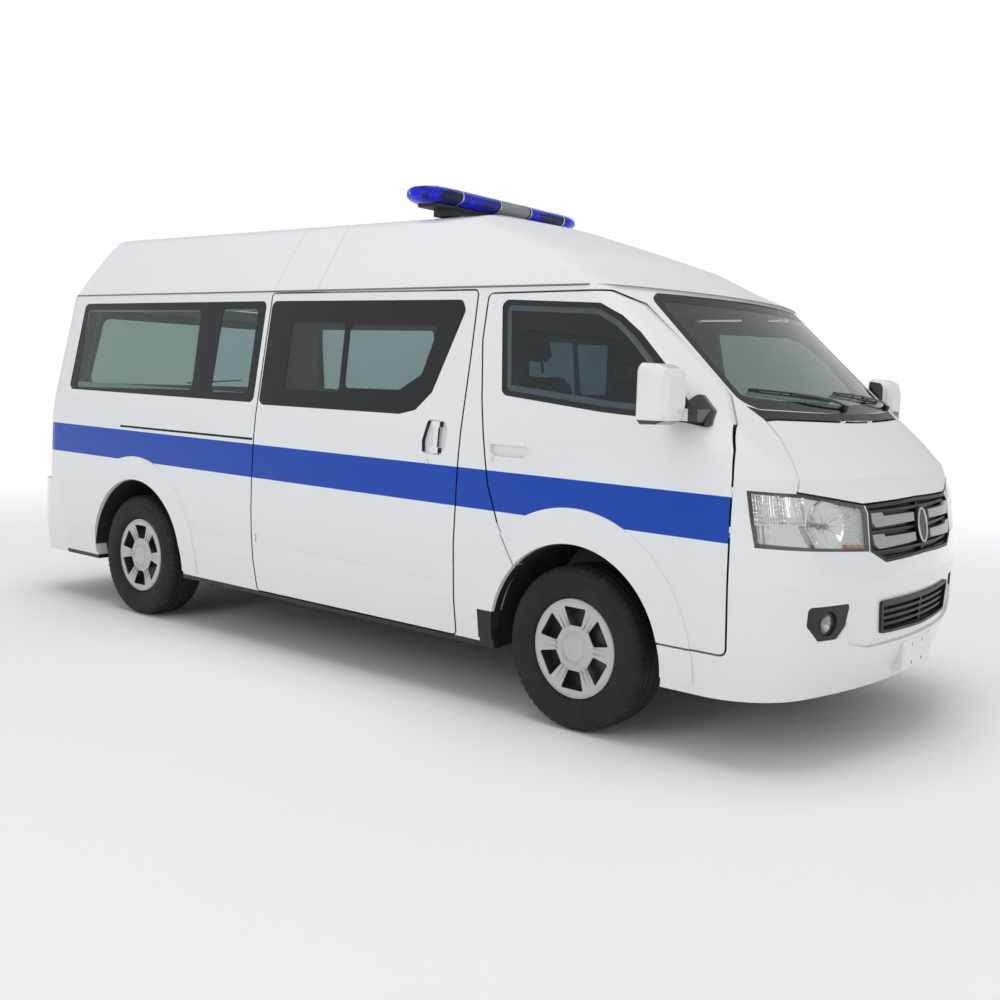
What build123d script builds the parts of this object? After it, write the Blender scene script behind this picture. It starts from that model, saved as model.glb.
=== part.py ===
from build123d import *
import os
from math import sqrt, radians, cos, sin, tan, atan2

# Van ambulance with a moulded high roof, in millimetres.
# X runs forward, Y to the left, Z up. The origin is on the ground, at mid length on the centre plane.

# ---- overall sizes -------------------------------------------------------------------------------
length = 5340
width = 1920                # over the wheel-arch flares
wheelbase = 3110
front_overhang = 1120
sill_z = 265                # lowest edge of the body sides
gutter_z = 1817             # joint of body sides and high roof
crown_z = 2245              # top of the high roof

# ---- walls, gaps and fits ------------------------------------------------------------------------
wall = 60                   # whole thickness of a side wall or door, outer skin to inner trim
nose_wall = 34              # bonnet, lamps and grille
roof_wall = 42
shut_gap = 8                # round everything that opens
seam = 0.4                  # between fixed neighbours with curved faces
glass_thick = 5
glass_inset = 3             # glass lies this far behind the outer skin
glass_land = 46             # width of the rebate that a bonded pane is glued to
flare_rise = 8

# ---- wheels and axles ----------------------------------------------------------------------------
tyre_radius = 338
tyre_width = 215
rim_radius = 203            # over the flanges
wheel_z = tyre_radius
track = 1650
arch_radius = 430
flare_radius = 575
rear_flare_radius = 560
kingpin_y = track / 2 - 90
front_house_y = track / 2 - 280         # inner wall of the front wheelhouses, clear of the steered tyres
rear_house_y = track / 2 - 185

# ---- floor and frame -----------------------------------------------------------------------------
frame_top_z = wheel_z + 92              # the floor rests on the frame rails
floor_z = frame_top_z + 90
axle_notch_z = wheel_z + 50             # the rails pass over the rear axle tube
low_arm_z = wheel_z - 129
top_arm_z = wheel_z + 26
rail_y = 420
rail_width = 70
rail_height = 130
rail_front = 900            # ahead of the front axle
rail_rear_setback = 170     # behind its ends, from the tail
axle_tube_radius = 42
member_height = 80
arm_thick = 24              # suspension arms
spindle_radius = 22
pin_radius = 12
running_fit = 0.1
pin_fit = 0.3

# ---- cab and load space --------------------------------------------------------------------------
cab_box_z = 820             # top of the box over the engine that carries the front seats
cab_box_rear = -730
cab_box_front = 60
cab_box_margin = 80         # the box is hollow between these side margins
plate = 8
firewall_x = 735            # ahead of the front axle
firewall_low_z = 300
firewall_top_z = 1150
driver_y = 400              # the driver sits on the left
seat_width = 480
column_lean = 35            # degrees of the steering column from upright
wheel_rim_radius = 185
hub_depth = 26
bulkhead_x = -800           # partition behind the front seats
bulkhead_thick = 20
bench_front = -900          # bench along the left wall
bench_house_gap = 40        # ahead of the rear wheelhouse
bench_y = 470
bench_wall_gap = 80         # behind its back, to the side wall
bench_back = 80
bench_z = 900
bench_back_z = 1300

# ---- doors ---------------------------------------------------------------------------------------
door_front = 712
edge_step = 10              # a door's inner part is this much smaller than its skin
skin_depth = 20
hinge_radius = 3.5
hinge_length = 40
door_hinge_inset = 11       # inside the overall half width
door_hinge_z = 750
door_hinge_tilt = 1         # degrees, top inwards
door_hinge_heights = (875, 1020)
tailgate_hinge = (188, 1813)        # ahead of the tail, height
tailgate_hinge_y = (-320, 280)
bonnet_hinge = (776, 1296.3)
bonnet_hinge_y = (-160, 120)

# ---- handles, recesses and grilles ---------------------------------------------------------------
handle_depth = 20
handle_rise = 3             # handles stand this proud of the skin
swage_depth = 3
bumper_recess = 12
grille_frame = 12
slat_pitch = 26
slat_gap = 15
grille_bar_depth = 12
badge_z = 889
badge_size = (104, 150)
plate_pad = (300, 128)      # width, height of the number plate's seat
plate_pad_z = 363
plate_pad_setback = 24      # its face, behind the foremost point of the nose
bezel_inset = 6
fog_lamp_inset = 10
plate_hole = (12, 16)
plate_hole_pitch = (110, 76)
number_recess = (540, 130, 10)
number_z = 1045

# ---- wheel covers --------------------------------------------------------------------------------
spokes = 6
spoke_half = 23             # half width of a spoke, at the hub and at the rim
spoke_rim_half = 40
cover_hole_radii = (92, 168)
cover_thick = 4
spoke_rib = (72, 8)         # two raised ribs on each spoke
spoke_rib_r = 128
spoke_rib_y = 11
spoke_rib_rise = 6.5

# ---- mirrors and light bar -----------------------------------------------------------------------
mirror_reach = 97           # middle of the head, outside the overall half width
mirror_z = 1385
mirror_foot_rise = 14
bar_x = -1330
bar_z = 2262                # underside
bar_length = 1180
bar_width = 290
# height above the underside, length and width lost on each side, corner cut
bar_sections = [(0, 45, 70), (38, 0, 100), (62, 0, 100), (96, 55, 62)]

front_axle_x = length / 2 - front_overhang
rear_axle_x = front_axle_x - wheelbase
half = width / 2
tail = front_overhang - length          # the rear end, ahead of the front axle
rail_rear = tail + rail_rear_setback
door_hinge_y = half - door_hinge_inset
mirror_y = half + mirror_reach
bench_x = (-wheelbase + arch_radius + bench_house_gap, bench_front)
bench_back_y = half - wall - bench_wall_gap


def fx(distance):
    """X of a place given as its distance ahead of the front axle."""
    return front_axle_x + distance


# Body sections in plan. Insets are from half the width, setbacks from the vehicle's ends.
# z, side_inset, nose_setback, nose_radius, nose_corner, tail_setback, tail_corner
body_sections = [
    (sill_z, 43, 80, 2100, 330, 62, 160),
    (450, 18, 15, 2100, 350, 52, 180),
    (700, 8, 0, 2100, 350, 50, 200),
    (960, 8, 42, 2300, 290, 50, 200),
    (1090, 11, 115, 2700, 240, 52, 200),
    (1190, 18, 230, 3000, 180, 60, 200),
    (gutter_z, 94, 870, 1700, 110, 186, 150),
]

# High roof in plan, above the gutter.
# z, nose_setback, nose_radius, nose_corner, tail_setback, tail_corner
roof_sections = [
    (gutter_z, 852, 1700, 120, 190, 150),
    (1890, 1040, 1600, 150, 202, 150),
    (1987, 1250, 1500, 180, 225, 150),
    (2082, 1554, 1400, 200, 262, 150),
    (2188, 1916, 1300, 200, 330, 150),
    (2290, 2420, 1300, 200, 450, 150),
]
roof_base_half = half - 104 # half width of the roof at the gutter
roof_lean = 30              # degrees of its sides from upright
crown_radius = 2400
shoulder_radius = 130
roof_side_spare = 3         # the plan sections stand this far outside the cross-section


def plan_outline(side_y, nose_x, nose_radius, nose_corner, tail_x, tail_corner):
    """Plan of the body at one height: bowed nose, round corners, straight sides and a flat tail."""
    bow_x = nose_x - nose_radius
    corner_y = side_y - nose_corner
    corner_x = bow_x + sqrt((nose_radius - nose_corner) ** 2 - corner_y ** 2)
    turn = atan2(corner_y, corner_x - bow_x)
    mid_turn = (turn + radians(90)) / 2
    join = (bow_x + nose_radius * cos(turn), nose_radius * sin(turn))
    bend = (corner_x + nose_corner * cos(mid_turn), corner_y + nose_corner * sin(mid_turn))
    tail_bend = tail_corner * (1 - cos(radians(45)))
    ThreePointArc((join[0], -join[1]), (nose_x, 0), join)
    ThreePointArc(join, bend, (corner_x, side_y))
    Line((corner_x, side_y), (tail_x + tail_corner, side_y))
    ThreePointArc((tail_x + tail_corner, side_y), (tail_x + tail_bend, side_y - tail_bend),
                  (tail_x, side_y - tail_corner))
    Line((tail_x, side_y - tail_corner), (tail_x, tail_corner - side_y))
    ThreePointArc((tail_x, tail_corner - side_y), (tail_x + tail_bend, tail_bend - side_y),
                  (tail_x + tail_corner, -side_y))
    Line((tail_x + tail_corner, -side_y), (corner_x, -side_y))
    ThreePointArc((corner_x, -side_y), (bend[0], -bend[1]), (join[0], -join[1]))


def body_form(inset, tail_grow=0, ends=0):
    """The body's outer form below the gutter, moved in by inset; ends lengthens it up and down."""
    with BuildPart() as form:
        for index, row in enumerate(body_sections):
            z, side_inset, nose_setback, nose_radius, nose_corner, tail_setback, tail_corner = row
            if index == 0:
                z = z - ends
            if index == len(body_sections) - 1:
                z = z + ends
            with BuildSketch(Plane.XY.offset(z)):
                with BuildLine():
                    plan_outline(half - side_inset - inset, length / 2 - nose_setback - inset,
                                 nose_radius - inset, nose_corner - inset,
                                 -length / 2 + tail_setback - tail_grow + inset, tail_corner - inset)
                make_face()
        loft(ruled=True)
    return form.part


def roof_form(inset):
    """The high roof's outer form above the gutter, moved in by inset."""
    lean = tan(radians(roof_lean))
    base_half = roof_base_half - inset / cos(radians(roof_lean))
    top_z = roof_sections[-1][0]
    rise = top_z - gutter_z
    with BuildPart() as form:
        for index, row in enumerate(roof_sections):
            z, nose_setback, nose_radius, nose_corner, tail_setback, tail_corner = row
            side_y = base_half + roof_side_spare - (z - gutter_z) * lean
            if index == 0 and inset:
                z = z - 1
            with BuildSketch(Plane.XY.offset(z)):
                with BuildLine():
                    plan_outline(side_y, length / 2 - nose_setback - 1.6 * inset,
                                 nose_radius - inset, nose_corner - inset / 2,
                                 -length / 2 + tail_setback + inset, tail_corner - inset / 2)
                make_face()
        loft(ruled=True)
        with BuildSketch(Plane.YZ) as section:
            with Locations((0, crown_z - crown_radius)):
                Circle(crown_radius - inset)
            with BuildLine():
                Polyline((-base_half - lean, gutter_z - 1), (base_half + lean, gutter_z - 1),
                         (base_half - rise * lean, top_z), (rise * lean - base_half, top_z), close=True)
            make_face(mode=Mode.INTERSECT)
            fillet(section.vertices().group_by(Axis.Y)[-1], shoulder_radius - inset)
        extrude(amount=length, both=True, mode=Mode.INTERSECT)
    return form.part


def outline(plane, points, radius, grow=0):
    """A closed shape with rounded corners on a plane, made larger or smaller by grow."""
    with BuildSketch(plane, mode=Mode.PRIVATE) as shape:
        with BuildLine():
            Polyline(*points, close=True)
        make_face()
        if radius:
            fillet(shape.vertices(), radius)
        if grow:
            offset(amount=grow, kind=Kind.INTERSECTION)
    return shape.sketch


def side_shape(points, radius, grow=0):
    """Outline seen from the right side, standing clear of the windscreen.

    Points are (distance ahead of the front axle, z).
    """
    return outline(Plane.XZ.offset(side_start_y), [(fx(x), z) for x, z in points], radius, grow)


def front_shape(points, radius, grow=0):
    """Outline seen from the front, mirrored to both sides; points are (y, z) with y from 0 up."""
    both = points + [(-y, z) for y, z in reversed(points) if y > 0]
    return outline(Plane.YZ, both, radius, grow)


def pair_shape(points, radius, grow=0):
    """Two outlines seen from the front, one on each side; points are (y, z) of the left one."""
    mirrored = [(-y, z) for y, z in reversed(points)]
    return outline(Plane.YZ, points, radius, grow) + outline(Plane.YZ, mirrored, radius, grow)


# ---- outlines ------------------------------------------------------------------------------------
front_door_points = [
    (-562, 1780), (60, 1786), (159, 1740), (310, 1613), (502, 1447), (568, 1384), (654, 1282),
    (698, 1190), (door_front, 1090), (door_front, 440), (380, 440), (380, 300), (-300, 300),
    (-300, 650), (-395, 804), (-459, 967), (-490, 1120), (-532, 1324), (-568, 1581),
]
front_glass_points = [
    (-486, 1757), (38, 1738), (142, 1689), (231, 1623), (359, 1504), (515, 1338), (528, 1281),
    (95, 1303), (-428, 1350),
]
sliding_door_points = [
    (-2038, 1800), (-632, 1796), (-634, 1494), (-646, 1043), (-655, 682), (-649, 292), (-2036, 292),
    (-2060, 579), (-2062, 824), (-2057, 1037), (-2046, 1540),
]
sliding_glass_points = [
    (-2034, 1764), (-716, 1758), (-690, 1712), (-838, 1345), (-930, 1262), (-1030, 1240), (-2046, 1238),
]
rear_glass_points = [(tail + 420, 1764), (-2080, 1764), (-2092, 1246), (tail + 358, 1252)]
side_start_y = 716           # side cuts start here, outside the windscreen
rear_bumper_top = 700
tail_lamp_front_x = fx(tail + 185)
bumper_top = 850
windscreen_points = [
    (0, 1802), (half - 320, 1797), (half - 270, 1768), (half - 248, 1372), (half - 310, 1342), (0, 1326),
]
bonnet_points = [
    (0, 1290), (half - 360, 1300), (half - 298, 1296), (half - 292, 1239), (half - 248, 1158),
    (half - 175, 1050), (452, 998), (0, 1006),
]
headlight_points = [(456, 817), (half + 15, 850), (half + 15, 1054), (half - 175, 1042), (452, 990)]
grille_points = [(0, 1000), (444, 990), (450, 816), (350, 768), (0, 776)]
intake_points = [(0, 616), (372, 616), (352, 486), (0, 478)]
fog_lamp_y = 672
fog_lamp_z = 560
fog_lamp_radius = 46
lamp_side_points = [(762, 1075), (1300, 1075), (1300, 780), (806, 780), (806, 850)]
tailgate_points = [(0, 1809), (half - 218, 1809), (half - 160, 1150), (half - 160, 708), (0, 708)]
tailgate_glass_points = [(0, 1745), (half - 305, 1745), (half - 245, 1235), (0, 1235)]
bezel_points = [(563, 630), (776, 630), (776, 560), (722, 499), (622, 499), (580, 545)]
bumper_recess_points = [(0, 636), (592, 636), (560, 470), (430, 440), (0, 440)]
# silver bars of the grille: y, z
upper_bar_points = [(84, 946), (84, 912), (402, 905), (424, 922), (428, 960), (352, 960), (338, 946)]
lower_bar_points = [(84, 866), (84, 832), (392, 822), (420, 840), (430, 878), (352, 878), (338, 866)]
# handles and recesses of the sides
front_handle_points = [(-464, 1196), (-306, 1190), (-250, 1142), (-464, 1142)]
front_scoop_points = [
    (-464, 1142), (-250, 1142), (-252, 1112), (-272, 1092), (-440, 1092), (-460, 1106),
]
slide_scoop_points = [
    (-840, 1226), (-738, 1220), (-716, 1190), (-722, 1110), (-752, 1074), (-862, 1074), (-868, 1130),
]
slide_bar_points = [(-796, 1216), (-770, 1216), (-770, 1083), (-796, 1083)]
slide_feet = [(-812, -764, 1192, 1220), (-812, -764, 1078, 1106)]
swages = [
    [(545 - wheelbase, 586), (-2080, 586), (-2080, 543), (545 - wheelbase, 543)],
    [(-2030, 584), (-756, 577), (-756, 522), (-2030, 541)],
]
rail_slot_points = [(-3278, 1067), (-2070, 1067), (-2070, 1055), (-3278, 1055)]
tail_lamp_points = [(half - 148, 1184), (half + 15, 1184), (half + 15, 705), (half - 148, 705)]

os.makedirs("parts", exist_ok=True)
far = 3 * width             # longer than any cut is deep


def save(name, solid):
    solid.label = name
    export_step(solid, f"parts/{name}.step")


outer = body_form(0)
shell = outer - body_form(wall, ends=1)
nose_skin = outer - body_form(nose_wall, ends=1)
glass_layer = body_form(glass_inset) - body_form(glass_inset + glass_thick, ends=1)
rebate_layer = body_form(-1, ends=1) - body_form(glass_inset + glass_thick + 2 * seam, ends=2)
flare_layer = body_form(-flare_rise, ends=1) - body_form(1, ends=2)
inner_form = body_form(wall + seam, ends=1)
cab_form = body_form(wall + shut_gap, ends=1)
step_form = body_form(skin_depth, ends=1)
roof_outer = roof_form(0)
roof_inner = roof_form(roof_wall)


def slab(x0, x1, y0, y1, z0, z1):
    """A block between two corners; X is measured from the front axle."""
    with BuildPart(mode=Mode.PRIVATE) as block:
        with Locations((fx((x0 + x1) / 2), (y0 + y1) / 2, (z0 + z1) / 2)):
            Box(x1 - x0, y1 - y0, z1 - z0)
    return block.part


def skin_cut(points, radius, depth):
    """A recess this deep in the right side's skin; points are (ahead of the front axle, z)."""
    with BuildPart(mode=Mode.PRIVATE) as cut:
        add(body_form(-1, ends=1))
        extrude(side_shape(points, radius), amount=far, mode=Mode.INTERSECT)
        add(body_form(depth, ends=2), mode=Mode.SUBTRACT)
    return cut.part


def skin_pad(points, radius, rise, depth):
    """A raised piece on the right side, from rise outside the skin to depth inside it."""
    with BuildPart(mode=Mode.PRIVATE) as pad:
        add(body_form(-rise, ends=1))
        extrude(side_shape(points, radius), amount=far, mode=Mode.INTERSECT)
        add(body_form(depth, ends=2), mode=Mode.SUBTRACT)
    return pad.part


def arch_cut(axle_x):
    """The round wheel opening, right across the vehicle."""
    with BuildPart() as cut:
        with BuildSketch(Plane.XZ.offset(-width)):
            with Locations((axle_x, wheel_z)):
                Circle(arch_radius)
        extrude(amount=2 * width)
    return cut.part


def flare_ring(axle_x, radius):
    """Raised wheel-arch flare on the right side, cut off level above the sill."""
    with BuildPart() as ring:
        with BuildSketch(Plane.XZ):
            with Locations((axle_x, wheel_z)):
                Circle(radius)
                Circle(arch_radius, mode=Mode.SUBTRACT)
        extrude(amount=width)
        add(flare_layer, mode=Mode.INTERSECT)
        split(bisect_by=Plane.XY.offset(sill_z + 40), keep=Keep.TOP)
    return ring.part


def other_side(solid):
    """The same piece on the other side of the vehicle."""
    return mirror(solid, about=Plane.XZ)


front_arch = arch_cut(front_axle_x)
rear_arch = arch_cut(rear_axle_x)
front_flare = flare_ring(front_axle_x, flare_radius)
rear_flare = flare_ring(rear_axle_x, rear_flare_radius)

# ---- bonded side glass: rebates, openings and panes ----------------------------------------------
pane_points = {"door": front_glass_points, "sliding": sliding_glass_points, "rear": rear_glass_points}
window_outlines = Sketch() + [side_shape(points, 34) for points in pane_points.values()]
window_holes = Sketch() + [side_shape(points, 34, -glass_land) for points in pane_points.values()]
with BuildPart() as rebates:
    add(rebate_layer)
    extrude(window_outlines, amount=far, mode=Mode.INTERSECT)
with BuildPart() as openings:
    extrude(window_holes, amount=far)
right_cuts = [rebates.part, openings.part]
left_cuts = [other_side(rebates.part), other_side(openings.part)]
panes = {}
for name, points in pane_points.items():
    with BuildPart() as pane:
        add(glass_layer)
        extrude(side_shape(points, 34, -seam), amount=far, mode=Mode.INTERSECT)
    panes[name] = pane.part

# ---- hinge knuckles, in the gaps along the hinge lines -------------------------------------------


def knuckle_pair(plane, along, leaf):
    """Two barrels on one hinge line: the first joins what lies on the leaf side, the second the other."""
    barrels = []
    for start, towards in ((along, leaf), (along + hinge_length / 2 + seam, -leaf)):
        with BuildPart(mode=Mode.PRIVATE) as barrel:
            with BuildSketch(plane.offset(start)):
                Circle(hinge_radius)
                with Locations((towards * hinge_radius, 0)):
                    Rectangle(2 * hinge_radius + 3, 2 * hinge_radius)
            extrude(amount=hinge_length / 2)
        barrels.append(barrel.part)
    return barrels


tilt = radians(door_hinge_tilt)
door_hinge_line = Plane(origin=(fx(door_front + shut_gap / 2), -door_hinge_y, door_hinge_z),
                        x_dir=(1, 0, 0), z_dir=(0, sin(tilt), cos(tilt)))
door_knuckles, door_post_knuckles = zip(*[knuckle_pair(door_hinge_line, z - door_hinge_z, -1)
                                         for z in door_hinge_heights])

# ---- front doors (the left one is the mirror image of the right) ---------------------------------
with BuildPart() as door_step:
    extrude(side_shape(front_door_points, 24, 1), amount=far)
    extrude(side_shape(front_door_points, 24, -edge_step), amount=far, mode=Mode.SUBTRACT)
    add(step_form, mode=Mode.INTERSECT)
with BuildPart() as right_door:
    add(shell)
    add(front_flare)
    extrude(side_shape(front_door_points, 24), amount=far, mode=Mode.INTERSECT)
    add([front_arch, door_step.part, skin_cut(front_scoop_points, 8, handle_depth)] + right_cuts,
        mode=Mode.SUBTRACT)
    add(skin_pad(front_handle_points, 10, handle_rise, handle_depth))
    add(list(door_knuckles))
save("right_door", right_door.part)
save("left_door", other_side(right_door.part))
save("right_door_glass", panes["door"])
save("left_door_glass", other_side(panes["door"]))

# ---- sliding side door (right side only) ---------------------------------------------------------
with BuildPart() as sliding_door:
    add(shell)
    extrude(side_shape(sliding_door_points, 20), amount=far, mode=Mode.INTERSECT)
    add([skin_cut(slide_scoop_points, 16, handle_depth), skin_cut(swages[1], 0, swage_depth)] + right_cuts,
        mode=Mode.SUBTRACT)
    add(skin_pad(slide_bar_points, 6, handle_rise, handle_depth / 3))
    for x0, x1, z0, z1 in slide_feet:
        add(skin_pad([(x0, z0), (x1, z0), (x1, z1), (x0, z1)], 6, handle_rise, handle_depth + 1))
save("sliding_door", sliding_door.part)
save("sliding_door_glass", panes["sliding"])

# ---- cuts that several body pieces share ---------------------------------------------------------
with BuildPart() as front_door_gap:
    extrude(side_shape(front_door_points, 24, shut_gap), amount=far)
with BuildPart() as sliding_door_gap:
    extrude(side_shape(sliding_door_points, 20, shut_gap), amount=far)
tail_opening_points = [(0, gutter_z + 20), (half - 218, gutter_z + 20)] + tailgate_points[2:]
with BuildPart() as tailgate_gap:
    extrude(front_shape(tail_opening_points, 0, shut_gap), amount=-length)


def lamp_block(grow):
    """The space of both headlights, round the front corners of the body."""
    with BuildPart() as block:
        extrude(pair_shape(headlight_points, 0, grow), amount=length)
        with BuildSketch(Plane.XZ) as side:
            with BuildLine():
                Polyline(*[(fx(x), z) for x, z in lamp_side_points], close=True)
            make_face()
            if grow:
                offset(amount=grow, kind=Kind.INTERSECTION)
        extrude(amount=width, both=True, mode=Mode.INTERSECT)
    return block.part


def tail_lamp_block(grow):
    """The space of the right tail lamp, round the rear corner of the body."""
    with BuildPart() as block:
        with BuildSketch(Plane.YZ):
            with BuildLine():
                Polyline(*[(-y, z) for y, z in tail_lamp_points], close=True)
            make_face()
            if grow:
                offset(amount=grow, kind=Kind.INTERSECTION)
        extrude(amount=-length)
        split(bisect_by=Plane.YZ.offset(tail_lamp_front_x + grow), keep=Keep.BOTTOM)
    return block.part


headlight_cut = lamp_block(seam)
tail_lamp_cut = tail_lamp_block(seam)
with BuildPart() as grille_cut:
    extrude(front_shape(grille_points, 0, seam), amount=length)
with BuildPart() as bonnet_cut:
    extrude(front_shape(bonnet_points, 0, shut_gap), amount=length)
with BuildPart() as windscreen_cut:
    extrude(front_shape(windscreen_points, 40), amount=length)
with BuildPart() as bumper_space:
    with BuildSketch(Plane.XZ):
        with BuildLine():
            Polyline((fx(door_front + shut_gap), bumper_top), (length, bumper_top), (length, 0),
                     (fx(door_front + shut_gap), 0), close=True)
        make_face()
    extrude(amount=width, both=True)
with BuildPart() as rear_bumper_space:
    with BuildSketch(Plane.XZ):
        with BuildLine():
            Polyline((fx(tail + 278), rear_bumper_top), (-length, rear_bumper_top), (-length, 0),
                     (fx(tail + 344), 0), (fx(tail + 344), 500), close=True)
        make_face()
    extrude(amount=width, both=True)

# ---- body sides ----------------------------------------------------------------------------------
with BuildPart() as side_blank:
    add(shell)
    split(bisect_by=Plane.XZ, keep=Keep.TOP)
    split(bisect_by=Plane.YZ.offset(front_axle_x), keep=Keep.BOTTOM)
    add([front_flare, rear_flare])
    split(bisect_by=Plane.YZ.offset(front_axle_x), keep=Keep.BOTTOM)
    add([front_arch, rear_arch, front_door_gap.part, tailgate_gap.part, tail_lamp_cut,
         rear_bumper_space.part, skin_cut(swages[0], 0, swage_depth)], mode=Mode.SUBTRACT)
with BuildPart() as right_side:
    add(side_blank.part)
    add([sliding_door_gap.part, skin_cut(rail_slot_points, 0, handle_depth)] + right_cuts,
        mode=Mode.SUBTRACT)
save("right_side", right_side.part)
with BuildPart() as left_side:
    add(other_side(side_blank.part))
    add(left_cuts + [other_side(skin_cut(swages[1], 0, swage_depth))], mode=Mode.SUBTRACT)
save("left_side", left_side.part)
save("side_glass", Compound([panes["rear"], other_side(panes["rear"]), other_side(panes["sliding"])]))

# ---- tailgate ------------------------------------------------------------------------------------
tailgate_hinge_line = Plane(origin=(fx(tail + tailgate_hinge[0]), 0, tailgate_hinge[1]),
                            x_dir=(0, 0, 1), z_dir=(0, 1, 0))
tailgate_knuckles = [knuckle_pair(tailgate_hinge_line, y, -1) for y in tailgate_hinge_y]
with BuildPart() as number_cut:
    with BuildSketch(Plane.YZ):
        with Locations((0, number_z)):
            RectangleRounded(number_recess[0], number_recess[1], 16)
    extrude(amount=-length)
    add(body_form(number_recess[2]), mode=Mode.SUBTRACT)
with BuildPart() as tailgate:
    add(shell)
    extrude(front_shape(tailgate_points, 20), amount=-length, mode=Mode.INTERSECT)
    extrude(front_shape(tailgate_glass_points, 40), amount=-length, mode=Mode.SUBTRACT)
    add(number_cut.part, mode=Mode.SUBTRACT)
    add([pair[0] for pair in tailgate_knuckles])
save("tailgate", tailgate.part)
with BuildPart() as tailgate_glass:
    add(glass_layer)
    extrude(front_shape(tailgate_glass_points, 40, -seam), amount=-length, mode=Mode.INTERSECT)
save("tailgate_glass", tailgate_glass.part)

# ---- front end -----------------------------------------------------------------------------------
bonnet_hinge_line = Plane(origin=(fx(bonnet_hinge[0]), 0, bonnet_hinge[1]),
                          x_dir=(0, 0, 1), z_dir=(0, 1, 0))
bonnet_knuckles = [knuckle_pair(bonnet_hinge_line, y, -1) for y in bonnet_hinge_y]
apron_rear = firewall_x + 2 * plate
rocker_y = half - 160
apron = [slab(firewall_x, apron_rear, -half, half, frame_top_z, firewall_top_z)]
for low_y, high_y in ((-half, -rocker_y), (rocker_y, half)):
    apron.append(slab(380, apron_rear, low_y, high_y, firewall_low_z, 426))
    apron.append(slab(firewall_x, apron_rear, low_y, high_y, firewall_low_z, frame_top_z + 30))
with BuildPart() as front_structure:
    add(apron)
    add(inner_form, mode=Mode.INTERSECT)
sill_link_y = half - 92
sill_link = [slab(420, door_front, side * sill_link_y - 20, side * sill_link_y + 20, firewall_low_z, 420)
             for side in (-1, 1)]
brow_link_y = half - 90
brow_link = [slab(firewall_x, apron_rear, side * brow_link_y - 30, side * brow_link_y + 30, bumper_top, 1100)
             for side in (-1, 1)]
with BuildPart() as front_frame:
    add(shell)
    split(bisect_by=Plane.YZ.offset(front_axle_x), keep=Keep.TOP)
    add([front_flare, other_side(front_flare)])
    split(bisect_by=Plane.YZ.offset(front_axle_x + seam), keep=Keep.TOP)
    add([front_arch, front_door_gap.part, other_side(front_door_gap.part), windscreen_cut.part,
         bonnet_cut.part, headlight_cut, grille_cut.part, bumper_space.part], mode=Mode.SUBTRACT)
    add([front_structure.part] + sill_link + brow_link)
    add(front_arch, mode=Mode.SUBTRACT)
    add([pair[1] for pair in bonnet_knuckles] + list(door_post_knuckles))
    add([other_side(solid) for solid in door_post_knuckles])
save("front_frame", front_frame.part)
with BuildPart() as bonnet:
    add(nose_skin)
    extrude(front_shape(bonnet_points, 0), amount=length, mode=Mode.INTERSECT)
    add([pair[0] for pair in bonnet_knuckles])
save("bonnet", bonnet.part)


def grille_panel(points, radius, frame_width, depth, low_z, high_z):
    """A framed panel of level slats that follows the nose, its slats set back by depth."""
    panel_shape = front_shape(points, radius, -seam)
    inner_shape = front_shape(points, radius, -seam - frame_width)
    with BuildPart(mode=Mode.PRIVATE) as slats:
        add(body_form(depth) - body_form(nose_wall, ends=1))
        extrude(inner_shape, amount=length, mode=Mode.INTERSECT)
        count = int((high_z - low_z) / slat_pitch)
        for index in range(count):
            z = low_z + (index + 0.5) * slat_pitch
            for side in (-1, 1):
                add(slab(0, length, side * half / 2 - half / 2 + 6, side * half / 2 + half / 2 - 6,
                         z - slat_gap / 2, z + slat_gap / 2), mode=Mode.SUBTRACT)
    with BuildPart(mode=Mode.PRIVATE) as frame_ring:
        add(nose_skin)
        extrude(panel_shape, amount=length, mode=Mode.INTERSECT)
        extrude(inner_shape, amount=length, mode=Mode.SUBTRACT)
    with BuildPart(mode=Mode.PRIVATE) as backing:
        add(body_form(nose_wall - 3) - body_form(nose_wall, ends=1))
        extrude(panel_shape, amount=length, mode=Mode.INTERSECT)
    return slats.part + frame_ring.part + backing.part


with BuildPart() as grilles:
    add(grille_panel(grille_points, 0, grille_frame, grille_bar_depth, 782, 990))
    add(grille_panel(intake_points, 12, grille_frame, grille_bar_depth, 492, 604))
save("grilles", grilles.part)
with BuildPart() as grille_bars:
    add(body_form(-2) - body_form(grille_bar_depth, ends=1))
    bar_shapes = pair_shape(upper_bar_points, 3) + pair_shape(lower_bar_points, 3)
    with BuildSketch(Plane.YZ) as badge:
        with Locations((0, badge_z)):
            Ellipse(badge_size[0] / 2, badge_size[1] / 2)
    extrude(bar_shapes + badge.sketch, amount=length, mode=Mode.INTERSECT)
save("grille_bars", grille_bars.part)
with BuildPart() as windscreen:
    add(glass_layer)
    extrude(front_shape(windscreen_points, 40, -seam), amount=length, mode=Mode.INTERSECT)
save("windscreen", windscreen.part)
with BuildPart() as headlights:
    add(nose_skin)
    add(lamp_block(0), mode=Mode.INTERSECT)
save("headlights", headlights.part)


def fog_lamp_circles(radius):
    """The two round fog lamps, seen from the front."""
    with BuildSketch(Plane.YZ, mode=Mode.PRIVATE) as circles:
        with Locations((-fog_lamp_y, fog_lamp_z), (fog_lamp_y, fog_lamp_z)):
            Circle(radius)
    return circles.sketch


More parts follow.
